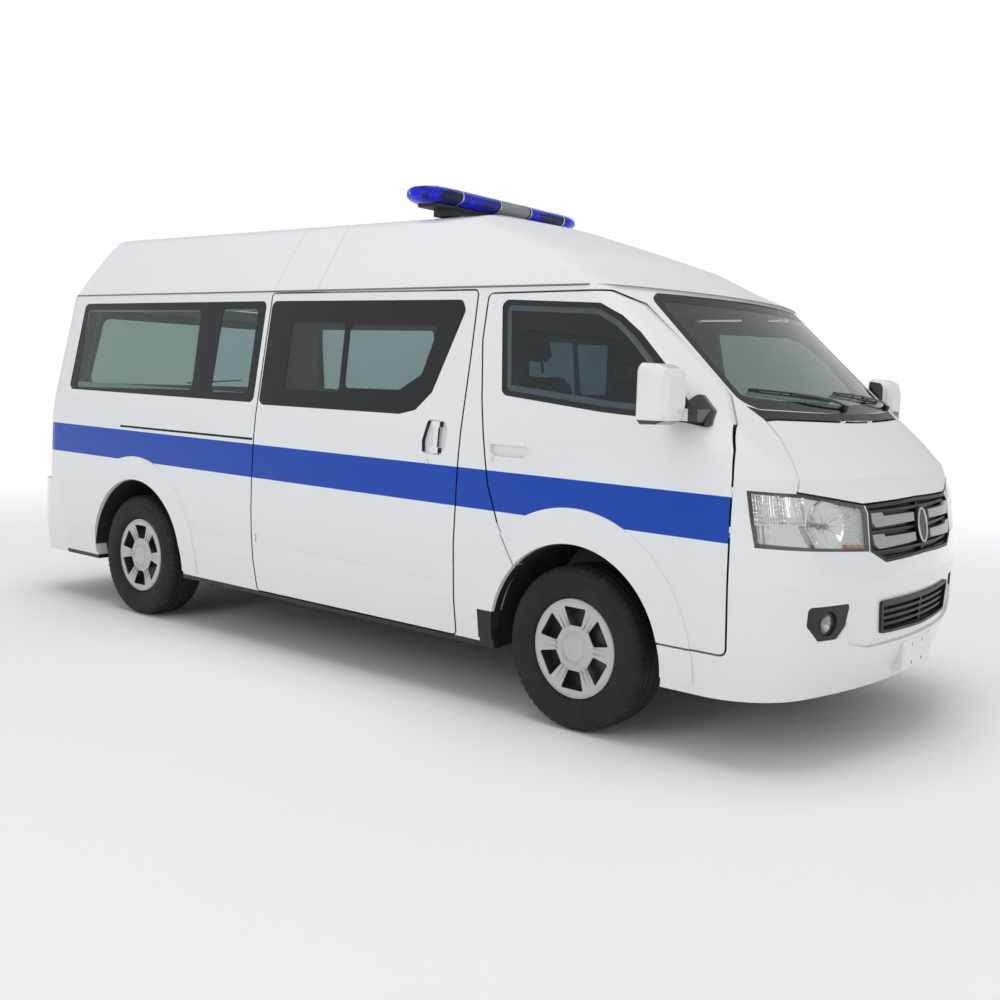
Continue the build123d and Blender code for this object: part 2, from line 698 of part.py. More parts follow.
with BuildPart() as lower_recess:
    extrude(front_shape(bumper_recess_points, 24), amount=length)
    add(body_form(bumper_recess, ends=2), mode=Mode.SUBTRACT)
pad_front_x = length / 2 - plate_pad_setback
with BuildPart() as plate_holder:
    with Locations((pad_front_x - wall / 2, 0, plate_pad_z)):
        Box(wall, *plate_pad)
    chamfer(plate_holder.faces().sort_by(Axis.X)[-1].edges(), 5)
    with BuildSketch(Plane.YZ.offset(pad_front_x)):
        with Locations((0, plate_pad_z)):
            with GridLocations(*plate_hole_pitch, 2, 2):
                Rectangle(*plate_hole)
    extrude(amount=-wall, mode=Mode.SUBTRACT)
with BuildPart() as front_bumper:
    add(shell)
    add(bumper_space.part, mode=Mode.INTERSECT)
    add([headlight_cut, grille_cut.part, lower_recess.part], mode=Mode.SUBTRACT)
    extrude(front_shape(intake_points, 12), amount=length, mode=Mode.SUBTRACT)
    extrude(pair_shape(bezel_points, 18), amount=length, mode=Mode.SUBTRACT)
    add(plate_holder.part)
save("front_bumper", front_bumper.part)
with BuildPart() as fog_bezels:
    add(body_form(bezel_inset) - body_form(nose_wall, ends=1))
    extrude(pair_shape(bezel_points, 18, -seam), amount=length, mode=Mode.INTERSECT)
    extrude(fog_lamp_circles(fog_lamp_radius + seam), amount=length, mode=Mode.SUBTRACT)
save("fog_lamp_bezels", fog_bezels.part)
with BuildPart() as fog_lamps:
    add(body_form(fog_lamp_inset) - body_form(nose_wall, ends=1))
    extrude(fog_lamp_circles(fog_lamp_radius), amount=length, mode=Mode.INTERSECT)
save("fog_lamps", fog_lamps.part)
with BuildPart() as tail_lamps:
    add(shell)
    add(tail_lamp_block(0), mode=Mode.INTERSECT)
save("tail_lamps", Compound([tail_lamps.part, other_side(tail_lamps.part)]))
with BuildPart() as rear_bumper:
    add(body_form(0, tail_grow=50) - body_form(wall, tail_grow=50, ends=1))
    add(rear_bumper_space.part, mode=Mode.INTERSECT)
save("rear_bumper", rear_bumper.part)

# ---- high roof -----------------------------------------------------------------------------------
with BuildPart() as roof:
    add(roof_outer)
    add(roof_inner, mode=Mode.SUBTRACT)
    add([pair[1] for pair in tailgate_knuckles])
save("roof", roof.part)

# ---- frame, floor and wheelhouses ----------------------------------------------------------------
rail_in = rail_y - rail_width / 2
rail_out = rail_y + rail_width / 2
rail_low_z = frame_top_z - rail_height
with BuildPart() as frame:
    for side in (-1, 1):
        add(slab(rail_rear, rail_front, side * rail_y - rail_width / 2, side * rail_y + rail_width / 2,
                 rail_low_z, frame_top_z))
    for x in (rail_rear + 60, -2300, -1300, rail_front - 120):
        add(slab(x, x + 60, -rail_in, rail_in, rail_low_z + 20, frame_top_z - 20))
    add(slab(-wheelbase - 90, 90 - wheelbase, -rail_out, rail_out, 0, axle_notch_z), mode=Mode.SUBTRACT)
save("chassis_frame", frame.part)


def wheelhouse(axle_x, house_y, grow, inward):
    """Half drum over one right wheel, from its inner wall out to the side wall."""
    with BuildPart(mode=Mode.PRIVATE) as house:
        with BuildSketch(Plane.XZ.offset(house_y - inward)):
            with Locations((axle_x, wheel_z)):
                Circle(arch_radius + grow)
        extrude(amount=half)
    return house.part


houses = [(front_axle_x, front_house_y), (rear_axle_x, rear_house_y)]
house_skins = [wheelhouse(x, y, plate, plate) for x, y in houses]
house_voids = [wheelhouse(x, y, 0, 0) for x, y in houses]
house_skins += [other_side(solid) for solid in house_skins]
house_voids += [other_side(solid) for solid in house_voids]
cab_side = -600             # the front doors hang ahead of this, clear of the floor's edge
with BuildPart() as cab_floor:
    add(slab(cab_side, firewall_x - seam, -half, half, frame_top_z, floor_z))
    add(slab(cab_box_rear, cab_box_front, -half, half, floor_z, cab_box_z))
    add(slab(cab_box_rear + plate, cab_box_front - plate, -half + cab_box_margin, half - cab_box_margin,
             0, cab_box_z - plate), mode=Mode.SUBTRACT)
    add([house_skins[0], house_skins[2]])
    add(cab_form, mode=Mode.INTERSECT)
with BuildPart() as load_floor:
    add(slab(-length, cab_side, -half, half, frame_top_z, floor_z))
    add([house_skins[1], house_skins[3]])
    add(inner_form, mode=Mode.INTERSECT)
with BuildPart() as floor:
    add([cab_floor.part, load_floor.part])
    add(house_voids, mode=Mode.SUBTRACT)
    add(slab(-length, length, -2 * half, 2 * half, 0, frame_top_z), mode=Mode.SUBTRACT)
save("floor", floor.part)

# ---- wheels --------------------------------------------------------------------------------------
with BuildPart() as tyre:
    with BuildSketch():
        with BuildLine():
            half_profile = [
                (rim_radius + seam, 80), (rim_radius + 13, 97), (rim_radius + 37, 105),
                (tyre_radius - 72, tyre_width / 2), (tyre_radius - 42, 105), (tyre_radius - 20, 98),
                (tyre_radius - 7, 88), (tyre_radius, 66),
            ]
            Polyline(*[(r, -y) for r, y in half_profile], *reversed(half_profile), close=True)
        make_face()
    revolve(axis=Axis.Y)
hub_in = -34
hub_out = -64
near_r, far_r = cover_hole_radii
near_half = near_r * tan(radians(180 / spokes)) - spoke_half
far_half = far_r * tan(radians(180 / spokes)) - spoke_rim_half
with BuildSketch(Plane.XZ) as cover_hole:
    with BuildLine():
        Polyline((near_r, -near_half), (far_r, -far_half), (far_r, far_half), (near_r, near_half),
                 close=True)
    make_face()
    fillet(cover_hole.vertices(), 7)
with BuildPart() as wheel:
    with BuildSketch():
        with BuildLine():
            Polyline((rim_radius, -87), (rim_radius, -79), (186, -72), (178, -45), (178, 50), (186, 76),
                     (rim_radius, 80), (rim_radius, 87), (196, 87), (179, 82), (171, 52), (171, -47),
                     (179, -78), (196, -87), close=True)
        make_face()
        with BuildLine():
            Polyline((spindle_radius + running_fit, hub_in), (spindle_radius + running_fit, hub_out),
                     (60, hub_out), (72, -46), (150, -32), (173, -32), (173, -24), (148, -24), (68, -38),
                     (56, hub_in), close=True)
        make_face()
    revolve(axis=Axis.Y)
    with BuildPart(mode=Mode.PRIVATE) as cover:
        with BuildSketch():
            with BuildLine():
                Polyline((0, -93), (50, -93), (60, -88), (72, -84), (100, -83), (165, -90), (188, -93),
                         (rim_radius - 2, -90), (rim_radius - 2, -86), (188, cover_thick - 93),
                         (165, cover_thick - 90), (100, cover_thick - 83), (0, cover_thick - 83),
                         close=True)
            make_face()
        revolve(axis=Axis.Y)
        with BuildSketch(Plane.XZ.offset(-2 * hub_out)):
            with PolarLocations(0, spokes, start_angle=180 / spokes):
                add(cover_hole.sketch_local)
        extrude(amount=4 * hub_out, mode=Mode.SUBTRACT)
        with BuildSketch(Plane.XZ.offset(84)):
            with PolarLocations(0, spokes):
                with Locations((spoke_rib_r, -spoke_rib_y), (spoke_rib_r, spoke_rib_y)):
                    Rectangle(*spoke_rib)
        extrude(amount=spoke_rib_rise)
    add(cover.part)
for name, axle_x, side in (("front_right", front_axle_x, -1), ("front_left", front_axle_x, 1),
                           ("rear_right", rear_axle_x, -1), ("rear_left", rear_axle_x, 1)):
    place = Location((axle_x, side * track / 2, wheel_z), (0, 0, 90 + 90 * side))
    save(f"{name}_tyre", place * tyre.part)
    save(f"{name}_wheel", place * wheel.part)

# ---- steering knuckles, suspension and rear axle -------------------------------------------------
arm_gap = 4
knuckle_low_z = low_arm_z + arm_thick + arm_gap
knuckle_top_z = top_arm_z - arm_gap
spindle_y = track / 2 + (-hub_out) - 6
with BuildPart() as knuckle:
    with Locations((front_axle_x, -kingpin_y, (knuckle_low_z + knuckle_top_z) / 2)):
        Box(64, 44, knuckle_top_z - knuckle_low_z)
    with Locations((front_axle_x, -kingpin_y, (low_arm_z + top_arm_z + arm_thick) / 2)):
        Cylinder(pin_radius, top_arm_z + arm_thick - low_arm_z)
    with BuildSketch(Plane.XZ.offset(kingpin_y)):
        with Locations((front_axle_x, wheel_z)):
            Circle(spindle_radius)
    extrude(amount=spindle_y - kingpin_y)
save("front_right_knuckle", knuckle.part)
save("front_left_knuckle", other_side(knuckle.part))
with BuildPart() as suspension:
    add(slab(-60, 60, -rail_out, rail_out, rail_low_z - member_height, rail_low_z))
    for side in (-1, 1):
        for z in (low_arm_z, top_arm_z):
            low_y, high_y = sorted((side * rail_out, side * (kingpin_y + 26)))
            add(slab(-30, 30, low_y, high_y, z, z + arm_thick))
        low_y, high_y = sorted((side * rail_out, side * (rail_out + 24)))
        add(slab(-50, 50, low_y, high_y, low_arm_z, top_arm_z + arm_thick))
    with Locations((front_axle_x, -kingpin_y, wheel_z), (front_axle_x, kingpin_y, wheel_z)):
        Cylinder(pin_radius + pin_fit, rail_height * 3, mode=Mode.SUBTRACT)
save("front_suspension", suspension.part)
with BuildPart() as rear_axle:
    with BuildSketch(Plane.XZ.offset(-track / 2 + 40)):
        with Locations((rear_axle_x, wheel_z)):
            Circle(axle_tube_radius)
    extrude(amount=track - 80)
    with BuildSketch(Plane.XZ.offset(-spindle_y)):
        with Locations((rear_axle_x, wheel_z)):
            Circle(spindle_radius)
    extrude(amount=2 * spindle_y)
    with Locations((rear_axle_x, 0, wheel_z)):
        Sphere(125)
    add(slab(-wheelbase - 130, 130 - wheelbase, -130, 130, axle_notch_z + 10, length), mode=Mode.SUBTRACT)
    for side in (-1, 1):
        add(slab(-wheelbase - 40, 40 - wheelbase, side * rail_y - 30, side * rail_y + 30,
                 wheel_z, axle_notch_z - seam))
save("rear_axle", rear_axle.part)

# ---- engine, cab and load space ------------------------------------------------------------------
with BuildPart() as engine:
    add(slab(-560, 40, -230, 230, rail_low_z + 10, cab_box_z - 30))
    add(slab(-330, -230, -rail_in, rail_in, rail_low_z + 30, frame_top_z - 30))
save("engine_block", engine.part)
column_dir = (-sin(radians(column_lean)), 0, cos(radians(column_lean)))
column = Plane(origin=(fx(300), driver_y, 1130), x_dir=(0, 1, 0), z_dir=column_dir)
with BuildPart() as dashboard:
    with BuildSketch(Plane.XZ.offset(-half)):
        with BuildLine():
            Polyline((fx(430), 930), (fx(410), 1080), (fx(470), 1170), (fx(firewall_x - seam), 1190),
                     (fx(firewall_x - seam), 760), (fx(600), 780), close=True)
        make_face()
    extrude(amount=2 * half)
    add(cab_form, mode=Mode.INTERSECT)
    with BuildSketch(column.offset(-hub_depth - seam)):
        Circle(34)
    extrude(amount=-170)
save("dashboard", dashboard.part)
with BuildPart() as rim_ring:
    with BuildSketch(Plane.XZ):
        with Locations((wheel_rim_radius, 0)):
            RegularPolygon(14, 8)
    revolve(axis=Axis.Z)
with BuildPart() as steering_wheel:
    with Locations(column):
        add(rim_ring.part)
        Box(50, 2 * wheel_rim_radius, 12)
        with Locations((wheel_rim_radius / 2, 0, 0)):
            Box(wheel_rim_radius, 40, 12)
        with Locations((0, 0, (16 - hub_depth) / 2)):
            Cylinder(46, hub_depth + 16)
save("steering_wheel", steering_wheel.part)


def seat(y):
    """Cab seat: cushion, back and headrest in one outline seen from the side."""
    with BuildPart(mode=Mode.PRIVATE) as body:
        with BuildSketch(Plane.XZ.offset(-y - seat_width / 2)) as side_view:
            with BuildLine():
                Polyline((fx(-570), cab_box_z), (fx(-40), cab_box_z), (fx(-30), 935), (fx(-70), 965),
                         (fx(-470), 940), (fx(-610), 1500), (fx(-715), 1480), (fx(-610), 960), close=True)
            make_face()
            fillet(side_view.vertices(), 14)
        extrude(amount=seat_width)
        with BuildSketch(Plane.XZ.offset(-y - 130)):
            with BuildLine():
                Polyline((fx(-640), 1485), (fx(-700), 1470), (fx(-745), 1650), (fx(-660), 1665), close=True)
            make_face()
        extrude(amount=260)
    return body.part


save("front_seats", Compound([seat(-driver_y), seat(driver_y)]))
with BuildPart() as bench:
    add(slab(*bench_x, bench_y, bench_back_y, floor_z, bench_z))
    add(slab(*bench_x, bench_back_y - bench_back, bench_back_y, bench_z, bench_back_z))
    fillet(bench.edges().filter_by(Axis.X), 20)
save("bench_seat", bench.part)
with BuildPart() as bulkhead:
    add(slab(bulkhead_x, bulkhead_x + bulkhead_thick, -half, half, floor_z, gutter_z))
    add(inner_form, mode=Mode.INTERSECT)
with BuildPart() as upper_bulkhead:
    add(slab(bulkhead_x, bulkhead_x + bulkhead_thick, -half, half, gutter_z, crown_z))
    add(roof_form(roof_wall + seam), mode=Mode.INTERSECT)
with BuildPart() as partition:
    add([bulkhead.part, upper_bulkhead.part])
    add(slab(2 * bulkhead_x, bulkhead_x / 2, -350, 350, 1250, 1650), mode=Mode.SUBTRACT)
save("bulkhead", partition.part)

# ---- mirrors and light bar -----------------------------------------------------------------------
mirror_pad = body_form(-mirror_foot_rise, ends=1) - body_form(-seam, ends=2)
mirror_foot_points = [(440, 1292), (604, 1268), (590, 1330), (520, 1396)]
with BuildPart() as mirror_base:
    add(mirror_pad)
    extrude(side_shape(mirror_foot_points, 12), amount=far, mode=Mode.INTERSECT)
with BuildPart() as mirror_arm:
    add(slab(505, 580, -half - 25, 80 - half, 1288, 1336))
    add(body_form(4 - mirror_foot_rise, ends=1), mode=Mode.SUBTRACT)
# sections of the mirror housing: ahead of the front axle, width, height, corner radius
mirror_sections = [
    (415, 172, 212, 26), (424, 185, 226, 32), (478, 182, 222, 36), (518, 158, 192, 42), (535, 112, 140, 40),
]
with BuildPart() as mirror_head:
    for x, wide, high, radius in mirror_sections:
        with BuildSketch(Plane.YZ.offset(fx(x))):
            with Locations((-mirror_y, mirror_z)):
                RectangleRounded(wide, high, radius)
    loft(ruled=True)
right_mirror = mirror_base.part + mirror_arm.part + mirror_head.part
save("right_mirror", right_mirror)
save("left_mirror", other_side(right_mirror))
with BuildPart() as light_bar:
    for rise, lost, corner in bar_sections:
        with BuildSketch(Plane.XY.offset(bar_z + rise)) as bar_plan:
            with Locations((fx(bar_x), 0)):
                Rectangle(bar_width - 2 * lost, bar_length - 2 * lost)
            chamfer(bar_plan.vertices(), corner)
    loft(ruled=True)
    for side in (-1, 1):
        add(slab(bar_x - 60, bar_x + 60, side * 365 - 40, side * 365 + 40, crown_z - 100, bar_z))
    add(roof_form(-seam), mode=Mode.SUBTRACT)
save("light_bar", light_bar.part)
with BuildPart() as mud_flaps:
    for x in (-arch_radius - 12, -wheelbase - arch_radius - 12):
        add(slab(x, x + 8, -track / 2 - 75, 125 - track / 2, 205, firewall_low_z + 100))
    add(inner_form, mode=Mode.INTERSECT)
right_flaps = mud_flaps.part.solids()
save("mud_flaps", Compound(right_flaps + [other_side(solid) for solid in right_flaps]))
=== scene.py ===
import math
import bmesh
import bpy
from mathutils import Matrix, Vector
from mathutils.bvhtree import BVHTree


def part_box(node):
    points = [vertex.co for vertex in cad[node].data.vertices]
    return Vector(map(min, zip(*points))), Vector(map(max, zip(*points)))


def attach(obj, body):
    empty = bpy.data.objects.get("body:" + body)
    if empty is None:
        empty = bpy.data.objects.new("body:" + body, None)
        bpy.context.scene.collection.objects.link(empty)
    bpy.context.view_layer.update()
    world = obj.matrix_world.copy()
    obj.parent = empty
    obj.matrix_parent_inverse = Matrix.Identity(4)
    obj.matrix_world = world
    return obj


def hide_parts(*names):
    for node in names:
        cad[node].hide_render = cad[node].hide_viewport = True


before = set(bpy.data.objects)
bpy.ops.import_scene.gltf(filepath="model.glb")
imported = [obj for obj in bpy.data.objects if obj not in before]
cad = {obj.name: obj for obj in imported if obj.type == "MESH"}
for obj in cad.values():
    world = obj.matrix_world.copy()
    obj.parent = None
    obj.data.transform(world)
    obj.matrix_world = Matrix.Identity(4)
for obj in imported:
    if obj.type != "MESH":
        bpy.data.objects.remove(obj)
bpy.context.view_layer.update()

# ---- camera ---------------------------------------------------------------------------------------
# Stands to the right of the vehicle and ahead of it, at the height of a person's eyes.
camera_place = Vector((4.2355, -4.4376, 1.4136))
camera_yaw, camera_pitch, camera_roll = (math.radians(angle) for angle in (125.06, -2.97, 2.40))
ahead = Vector((math.cos(camera_yaw) * math.cos(camera_pitch), math.sin(camera_yaw) * math.cos(camera_pitch),
                math.sin(camera_pitch)))
level_right = ahead.cross(Vector((0, 0, 1))).normalized()
level_up = level_right.cross(ahead)
right = math.cos(camera_roll) * level_right + math.sin(camera_roll) * level_up
up = math.cos(camera_roll) * level_up - math.sin(camera_roll) * level_right
camera_data = bpy.data.cameras.new("camera")
camera_data.sensor_width = 36
camera_data.lens = 1.1042 * camera_data.sensor_width
camera_data.shift_x = -0.1252
camera_data.shift_y = -0.0577
camera = bpy.data.objects.new("camera", camera_data)
bpy.context.scene.collection.objects.link(camera)
camera.matrix_world = Matrix.Translation(camera_place) @ Matrix((right, up, -ahead)).transposed().to_4x4()
bpy.context.scene.camera = camera

# ---- studio ---------------------------------------------------------------------------------------
# A plain white room: a pale floor that takes the shadow, a pale world, and large soft lamps.
room_tint = (0.93, 0.96, 1.0, 1)
room_strength = 0.52
room_in_gloss = 0.25                # share of the white wall that glossy faces see
floor_fade = (3.4, 9.0)             # the floor turns into plain white between these distances
floor_half = 90


def feed(tree, made, inputs):
    """Sets or links a node's inputs, each given by its name or number."""
    for label, value in inputs.items():
        if isinstance(value, bpy.types.NodeSocket):
            tree.links.new(value, made.inputs[label])
        else:
            made.inputs[label].default_value = value
    return made


def node(tree, kind, inputs=None, **settings):
    """A new node with its settings and its inputs."""
    made = tree.nodes.new(kind)
    for key, value in settings.items():
        setattr(made, key, value)
    return feed(tree, made, inputs or {})


def calc(tree, operation, *values):
    """The output of a maths node over sockets or numbers."""
    return node(tree, "ShaderNodeMath", dict(enumerate(values)), operation=operation).outputs[0]


bpy.context.scene.view_settings.view_transform = "Standard"
world = bpy.data.worlds.new("white_room")
world.use_nodes = True
bpy.context.scene.world = world
room = world.node_tree
room.nodes.clear()
rays = node(room, "ShaderNodeLightPath").outputs
room_light = node(room, "ShaderNodeBackground", {"Color": room_tint, "Strength": room_strength})
room_wall = node(room, "ShaderNodeBackground", {"Color": (1, 1, 1, 1)})
seen = calc(room, "MAXIMUM", rays["Is Camera Ray"], calc(room, "MULTIPLY", rays["Is Glossy Ray"], room_in_gloss))
seen = calc(room, "MAXIMUM", seen, rays["Is Transmission Ray"])
room_mix = node(room, "ShaderNodeMixShader", {0: seen, 1: room_light.outputs[0], 2: room_wall.outputs[0]})
node(room, "ShaderNodeOutputWorld", {0: room_mix.outputs[0]})

lamps = [
    # name, place, aim, size, watts
    ("lamp_over", (0.5, -1.5, 14.0), (0, 0, 0.5), 9.0, 620),
    ("lamp_side", (0.0, -9.0, 4.5), (0, 0, 1.0), 5.0, 120),
    ("lamp_nose", (9.0, -2.5, 4.0), (2, 0, 1.0), 4.0, 60),
    ("lamp_far", (-3.0, 8.5, 5.5), (0, 0, 1.2), 5.0, 130),
]
for name, place, aim, size, watts in lamps:
    lamp_data = bpy.data.lights.new(name, "AREA")
    lamp_data.shape = "DISK"
    lamp_data.size = size
    lamp_data.energy = watts
    lamp = bpy.data.objects.new(name, lamp_data)
    lamp.location = place
    lamp.rotation_euler = (Vector(aim) - Vector(place)).to_track_quat("-Z", "Y").to_euler()
    lamp.visible_glossy = False
    bpy.context.scene.collection.objects.link(lamp)

floor_mesh = bpy.data.meshes.new("studio_floor")
floor_mesh.from_pydata([(floor_half * x, floor_half * y, 0) for x, y in ((-1, -1), (1, -1), (1, 1), (-1, 1))], [],
                       [(0, 1, 2, 3)])
studio_floor = bpy.data.objects.new("studio_floor", floor_mesh)
bpy.context.scene.collection.objects.link(studio_floor)
floor_finish = bpy.data.materials.new("studio_floor")
floor_finish.use_nodes = True
floor_tree = floor_finish.node_tree
floor_shader = feed(floor_tree, floor_tree.nodes["Principled BSDF"],
                    {"Base Color": (0.95, 0.95, 0.95, 1), "Roughness": 0.9, "Specular IOR Level": 0.1})
floor_place = node(floor_tree, "ShaderNodeTexCoord").outputs["Object"]
floor_reach = node(floor_tree, "ShaderNodeVectorMath", {0: floor_place}, operation="LENGTH")
fade = node(floor_tree, "ShaderNodeMapRange",
            {"Value": floor_reach.outputs["Value"], "From Min": floor_fade[0], "From Max": floor_fade[1]},
            interpolation_type="SMOOTHSTEP")
floor_glow = node(floor_tree, "ShaderNodeEmission")
floor_mix = node(floor_tree, "ShaderNodeMixShader",
                 {0: fade.outputs[0], 1: floor_shader.outputs[0], 2: floor_glow.outputs[0]})
feed(floor_tree, floor_tree.nodes["Material Output"], {0: floor_mix.outputs[0]})
floor_mesh.materials.append(floor_finish)

# ---- body panels ----------------------------------------------------------------------------------
# Pressed steel sides, doors and nose in glossy white enamel, with a moulded roof in the same white.
# A blue band runs along both sides from the tail lamps to the front door's edge, behind the flares.
enamel = (0.84, 0.86, 0.87)
band_blue = (0.0, 0.060, 0.44)
trim_grey = (0.50, 0.51, 0.51)
headliner_cream = (0.62, 0.60, 0.55)
# black for the painted shade in the door gaps, under the sill and behind the front wheel
painted_shade_black = (0.018, 0.018, 0.02)
dust_brown = (0.30, 0.27, 0.23)
dust_top = 0.55                     # road dust thins out up to this height
front_axle_x = 1.550
rear_axle_x = -1.560
axle_z = 0.338
flare_radii = (0.575, 0.560)
band_end_x = 2.268
band_top = (1.0335, -0.0043)        # height at mid length, rise for each metre forward
band_low = (0.8645, -0.0049)
shut_edges_x = (-2.40, 2.35)        # door edges that face along X are painted black between these, as painted shade in the door gaps
flare_clear = 0.625                 # but not this near an axle, where the flares' own steps face that way
handle_zone = ((1.200, 0.120), (1.110, 0.070))      # nor here, round the handle: middle and reach in X, in Z
# painted shade: the sides are painted black below this height, under the sill
under_sill_shade_z = 0.288
wheel_corner_shade_x = (1.045, 1.135)        # painted shade: the sill's corner behind the front wheel is painted black
wheel_corner_shade_z = 0.430
# painted shade: thin grey lines along the roof seams at these places
roof_seams_x = (-0.500, -0.170)
roof_seam_half = 0.0014


def new_tree(kind, name, inputs, outputs):
    """A node tree with named sockets; gives the tree, its inputs' sockets and its output node."""
    tree = bpy.data.node_groups.new(name, kind)
    for way, sockets in (("INPUT", inputs), ("OUTPUT", outputs)):
        for label, socket_kind in sockets:
            tree.interface.new_socket(label, in_out=way, socket_type="NodeSocket" + socket_kind)
    return tree, tree.nodes.new("NodeGroupInput").outputs, tree.nodes.new("NodeGroupOutput")


def place_of(tree, what="Object"):
    """X, Y and Z of the surface point in the vehicle's own frame, or of its Normal."""
    return node(tree, "ShaderNodeSeparateXYZ", {0: node(tree, "ShaderNodeTexCoord").outputs[what]}).outputs


def mix_colour(tree, share, first, second):
    """Blend of two colours; each is a socket or a colour."""
    return node(tree, "ShaderNodeMix", {0: share, 6: first, 7: second}, data_type="RGBA").outputs[2]


def times(tree, *values):
    """Product of masks or values."""
    product = values[0]
    for value in values[1:]:
        product = calc(tree, "MULTIPLY", product, value)
    return product


def between(tree, value, low, high):
    """Mask of the places where a value lies between two limits."""
    return times(tree, calc(tree, "GREATER_THAN", value, low), calc(tree, "LESS_THAN", value, high))


def near(tree, value, middle, reach):
    """Mask of the places where a value lies within reach of a middle."""
    return calc(tree, "LESS_THAN", calc(tree, "ABSOLUTE", calc(tree, "SUBTRACT", value, middle)), reach)


def reach_squared(tree, run, rise):
    """Square of the distance whose legs are run and rise."""
    return calc(tree, "ADD", times(tree, run, run), times(tree, rise, rise))


film, film_in, film_out = new_tree(
    "ShaderNodeTree", "surface_film",
    [("Color", "Color"), ("Roughness", "Float"), ("Patch Size", "Float"), ("Grain Size", "Float"),
     ("Shade", "Float"), ("Dust", "Float")],
    [("Color", "Color"), ("Roughness", "Float"), ("Height", "Float")])
film_place = node(film, "ShaderNodeTexCoord").outputs["Object"]
patches, grain = (
    node(film, "ShaderNodeTexNoise", {"Vector": film_place, "Scale": film_in[scale], "Detail": detail}).outputs["Fac"]
    for scale, detail in (("Patch Size", 4), ("Grain Size", 2)))
film_dark = mix_colour(film, times(film, patches, film_in["Shade"]), film_in["Color"], (0, 0, 0, 1))
film_z = node(film, "ShaderNodeSeparateXYZ", {0: film_place}).outputs[2]
dust_low = calc(film, "MAXIMUM", calc(film, "SUBTRACT", dust_top, film_z), 0.0)
film_colour = mix_colour(film, times(film, dust_low, film_in["Dust"], patches), film_dark, (*dust_brown, 1))
film_uneven = times(film, calc(film, "SUBTRACT", patches, 0.5), film_in["Shade"])
feed(film, film_out, {"Color": film_colour, "Height": grain,
                      "Roughness": calc(film, "ADD", film_uneven, film_in["Roughness"])})


def open_finish(name, colour, roughness, patch=3.0, grain=300.0, shade=0.1, dust=0.0, depth=0.0002,
                metallic=0.0, coat=0.0):
    """A material over the surface film; gives the material, its tree, the shader and the film node."""
    made = bpy.data.materials.new(name)
    made.use_nodes = True
    tree = made.node_tree
    layer = node(tree, "ShaderNodeGroup",
                 {"Color": (*colour, 1), "Roughness": roughness, "Patch Size": patch, "Grain Size": grain,
                  "Shade": shade, "Dust": dust}, node_tree=film)
    bump = node(tree, "ShaderNodeBump", {"Strength": 0.4, "Distance": depth, "Height": layer.outputs["Height"]})
    shader = feed(tree, tree.nodes["Principled BSDF"],
                  {"Base Color": layer.outputs["Color"], "Roughness": layer.outputs["Roughness"],
                   "Normal": bump.outputs[0], "Metallic": metallic, "Coat Weight": coat, "Coat Roughness": 0.03})
    return made, tree, shader, layer


def finish(name, colour, roughness, **film_values):
    """A material over the surface film."""
    return open_finish(name, colour, roughness, **film_values)[0]


def wear(material, *nodes):
    """Gives CAD nodes this material."""
    for cad_node in nodes:
        cad[cad_node].data.materials.clear()
        cad[cad_node].data.materials.append(material)


band, _, band_out = new_tree("ShaderNodeTree", "side_band", [], [("Band", "Float"), ("Inside", "Float")])
band_x, band_y, band_z = place_of(band)
band_edges = [calc(band, "MULTIPLY_ADD", band_x, slope, height) for height, slope in (band_low, band_top)]
in_band = times(band, between(band, band_z, *band_edges), calc(band, "LESS_THAN", band_x, band_end_x))
rise = calc(band, "SUBTRACT", band_z, axle_z)
for axle_x, radius in zip((front_axle_x, rear_axle_x), flare_radii):
    reach = calc(band, "SQRT", reach_squared(band, calc(band, "SUBTRACT", band_x, axle_x), rise))
    in_band = times(band, in_band, calc(band, "GREATER_THAN", reach, radius))
outward = times(band, place_of(band, "Normal")[1], calc(band, "SIGN", band_y))
feed(band, band_out, {"Band": times(band, in_band, calc(band, "GREATER_THAN", outward, 0.4)),
                      "Inside": calc(band, "LESS_THAN", outward, -0.5)})

gloss_white = dict(patch=1.4, grain=900, shade=0.04, dust=0.12, depth=0.00004)
white_paint = finish("white_enamel", enamel, 0.22, coat=0.9, **gloss_white)
wear(white_paint, "front_frame", "bonnet", "front_bumper", "rear_bumper", "tailgate")

side_paint, tree, shader, layer = open_finish("white_enamel_with_blue_band", enamel, 0.22, coat=0.15, **gloss_white)
shader.inputs["Specular IOR Level"].default_value = 0.22
banding = node(tree, "ShaderNodeGroup", node_tree=band).outputs
side_x, _, side_z = place_of(tree)
# Painted shade: the door shut edges, the sides below the sill and the sill's corner behind the front wheel are
# painted black where shade falls.
shut_edge = calc(tree, "GREATER_THAN", calc(tree, "ABSOLUTE", place_of(tree, "Normal")[0]), 0.80)
shut_edge = times(tree, shut_edge, between(tree, side_x, *shut_edges_x))
rise = calc(tree, "SUBTRACT", side_z, axle_z)
for axle_x in (front_axle_x, rear_axle_x):
    reach = reach_squared(tree, calc(tree, "SUBTRACT", side_x, axle_x), rise)
    shut_edge = times(tree, shut_edge, calc(tree, "GREATER_THAN", reach, flare_clear ** 2))
by_handle = times(tree, near(tree, side_x, *handle_zone[0]), near(tree, side_z, *handle_zone[1]))
shut_edge = times(tree, shut_edge, calc(tree, "SUBTRACT", 1.0, by_handle))
under_sill_shade = calc(tree, "LESS_THAN", side_z, under_sill_shade_z)
wheel_corner_shade = times(tree, between(tree, side_x, *wheel_corner_shade_x), calc(tree, "LESS_THAN", side_z, wheel_corner_shade_z))
painted_shade_zone = calc(tree, "MAXIMUM", calc(tree, "MAXIMUM", shut_edge, under_sill_shade), wheel_corner_shade)
side_colour = mix_colour(tree, banding["Band"], (*enamel, 1), (*band_blue, 1))
side_colour = mix_colour(tree, banding["Inside"], side_colour, (*trim_grey, 1))
feed(tree, layer, {"Color": mix_colour(tree, painted_shade_zone, side_colour, (*painted_shade_black, 1))})
wear(side_paint, "right_side", "left_side", "right_door", "left_door", "sliding_door")

